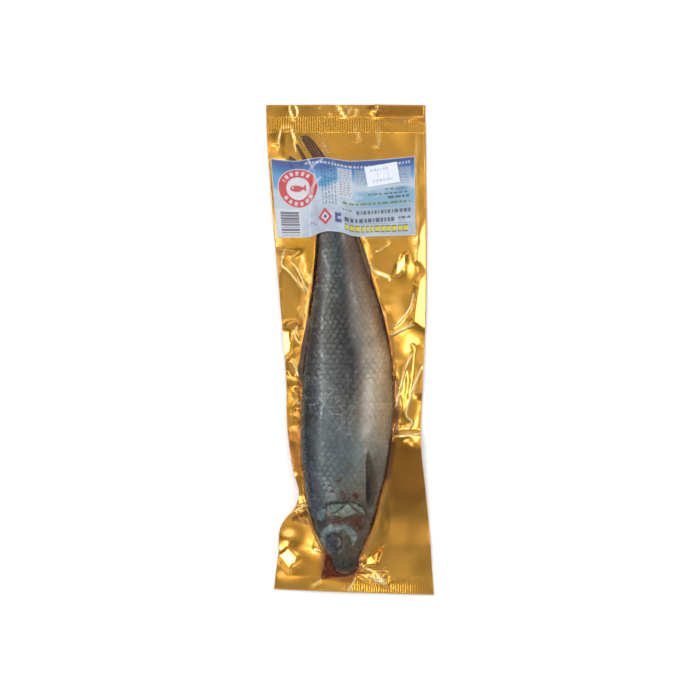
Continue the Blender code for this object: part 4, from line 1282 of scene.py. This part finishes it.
def make_lights():
    for i, (place, (wide, tall), power, reflected) in enumerate(SOFTBOXES):
        light = bpy.data.lights.new(f"softbox_{i}", "AREA")
        light.shape = "RECTANGLE"
        light.size, light.size_y = wide, tall
        light.energy = power
        lamp = bpy.data.objects.new(f"softbox_{i}", light)
        lamp.location = place
        lamp.visible_glossy = reflected
        lamp.rotation_euler = (-Vector(place)).to_track_quat("-Z", "Y").to_euler()
        bpy.context.collection.objects.link(lamp)
    bpy.context.scene.view_settings.view_transform = "Standard"


def make_world():
    """A soft dome. Its levels change with the height above the horizon, 0 to 1."""
    world = bpy.data.worlds.new("studio")
    bpy.context.scene.world = world
    world.use_nodes = True
    background = world.node_tree.nodes["Background"]
    background.inputs["Color"].default_value = (1, 1, 1, 1)
    nodes = Nodes(world.node_tree)
    height = nodes.add("SeparateXYZ", {0: nodes.add("TexCoord").outputs["Generated"]}).outputs["Z"]
    dome = nodes.faded(height, 0.89, 1.0, RING, ZENITH)
    horizon = nodes.faded(height, 0.16, 0.04, 0.0, HORIZON)
    walls = nodes.faded(height, 0.76, 0.52, 0.0, WALLS)
    strength = nodes.math("ADD", nodes.math("ADD", dome, horizon), walls)
    world.node_tree.links.new(strength, background.inputs["Strength"])


def make_camera():
    """Straight above the pouch, its length upright in the picture."""
    data = bpy.data.cameras.new("camera")
    data.sensor_width = 36
    data.lens = data.sensor_width * CAMERA_HEIGHT / VIEW_WIDTH
    camera = bpy.data.objects.new("camera", data)
    camera.location = (0, 0, CAMERA_HEIGHT)
    bpy.context.collection.objects.link(camera)
    bpy.context.scene.camera = camera


# -------- assembly


def piece(obj, material, slot, *nodes):
    """Gives a piece its material and its body, and hides the node that it stands for; slot is not used."""
    obj.data.materials.clear()
    obj.data.materials.append(material)
    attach(obj, "root")
    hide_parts(*nodes)
    return obj


def tree_of(obj):
    bpy.context.view_layer.update()
    return BVHTree.FromObject(obj, bpy.context.evaluated_depsgraph_get())


def main():
    skin_look, fin_look = finished("herring_skin", skin_shader), finished("herring_fins", fin_shader)
    brown, pale_brown = rgb(96, 56, 22), rgb(104, 76, 54)
    fish = [piece(make_skin(), skin_look, "fish_skin", "herring")]
    for name, rows, rays, thick, colour in (
        ("dorsal_fin", DORSAL, 9, 0.5, pale_brown), ("anal_fin", ANAL, 8, 0.45, pale_brown),
        ("tail_fin_back", TAIL_BACK, 3, 0.6, brown), ("tail_fin_belly", TAIL_BELLY, 4, 0.6, brown),
        ("tail_fin_ray", TAIL_RAY, 2, 0.4, brown),
    ):
        fish.append(piece(make_fin(name, rows, rays, thick, colour), fin_look, "fish_skin", "herring"))
    trees = [tree_of(obj) for obj in fish]
    foil, film = make_webs(trees)
    piece(foil, finished("gold_foil", foil_shader), "gold_foil", "backing_foil")
    piece(film, finished("clear_film", film_shader), "clear_film", "front_film")
    label_look = finished("label_print", lambda nodes: print_shader(nodes, 0.24, 0.34, 500, 0.1))
    label = piece(make_label(tree_of(film)), label_look, "label_print", "printed_label")
    paper_look = finished("sticker_paper", lambda nodes: print_shader(nodes, 0.55, 0.7, 900, 0.3))
    sticker = piece(make_sticker(tree_of(label)), paper_look, "sticker_paper", "date_sticker")
    piece(make_brine(tree_of(foil)), finished("brine", brine_shader), "brine", "brine")


make_camera()
main()
make_floor()
make_lights()
make_world()
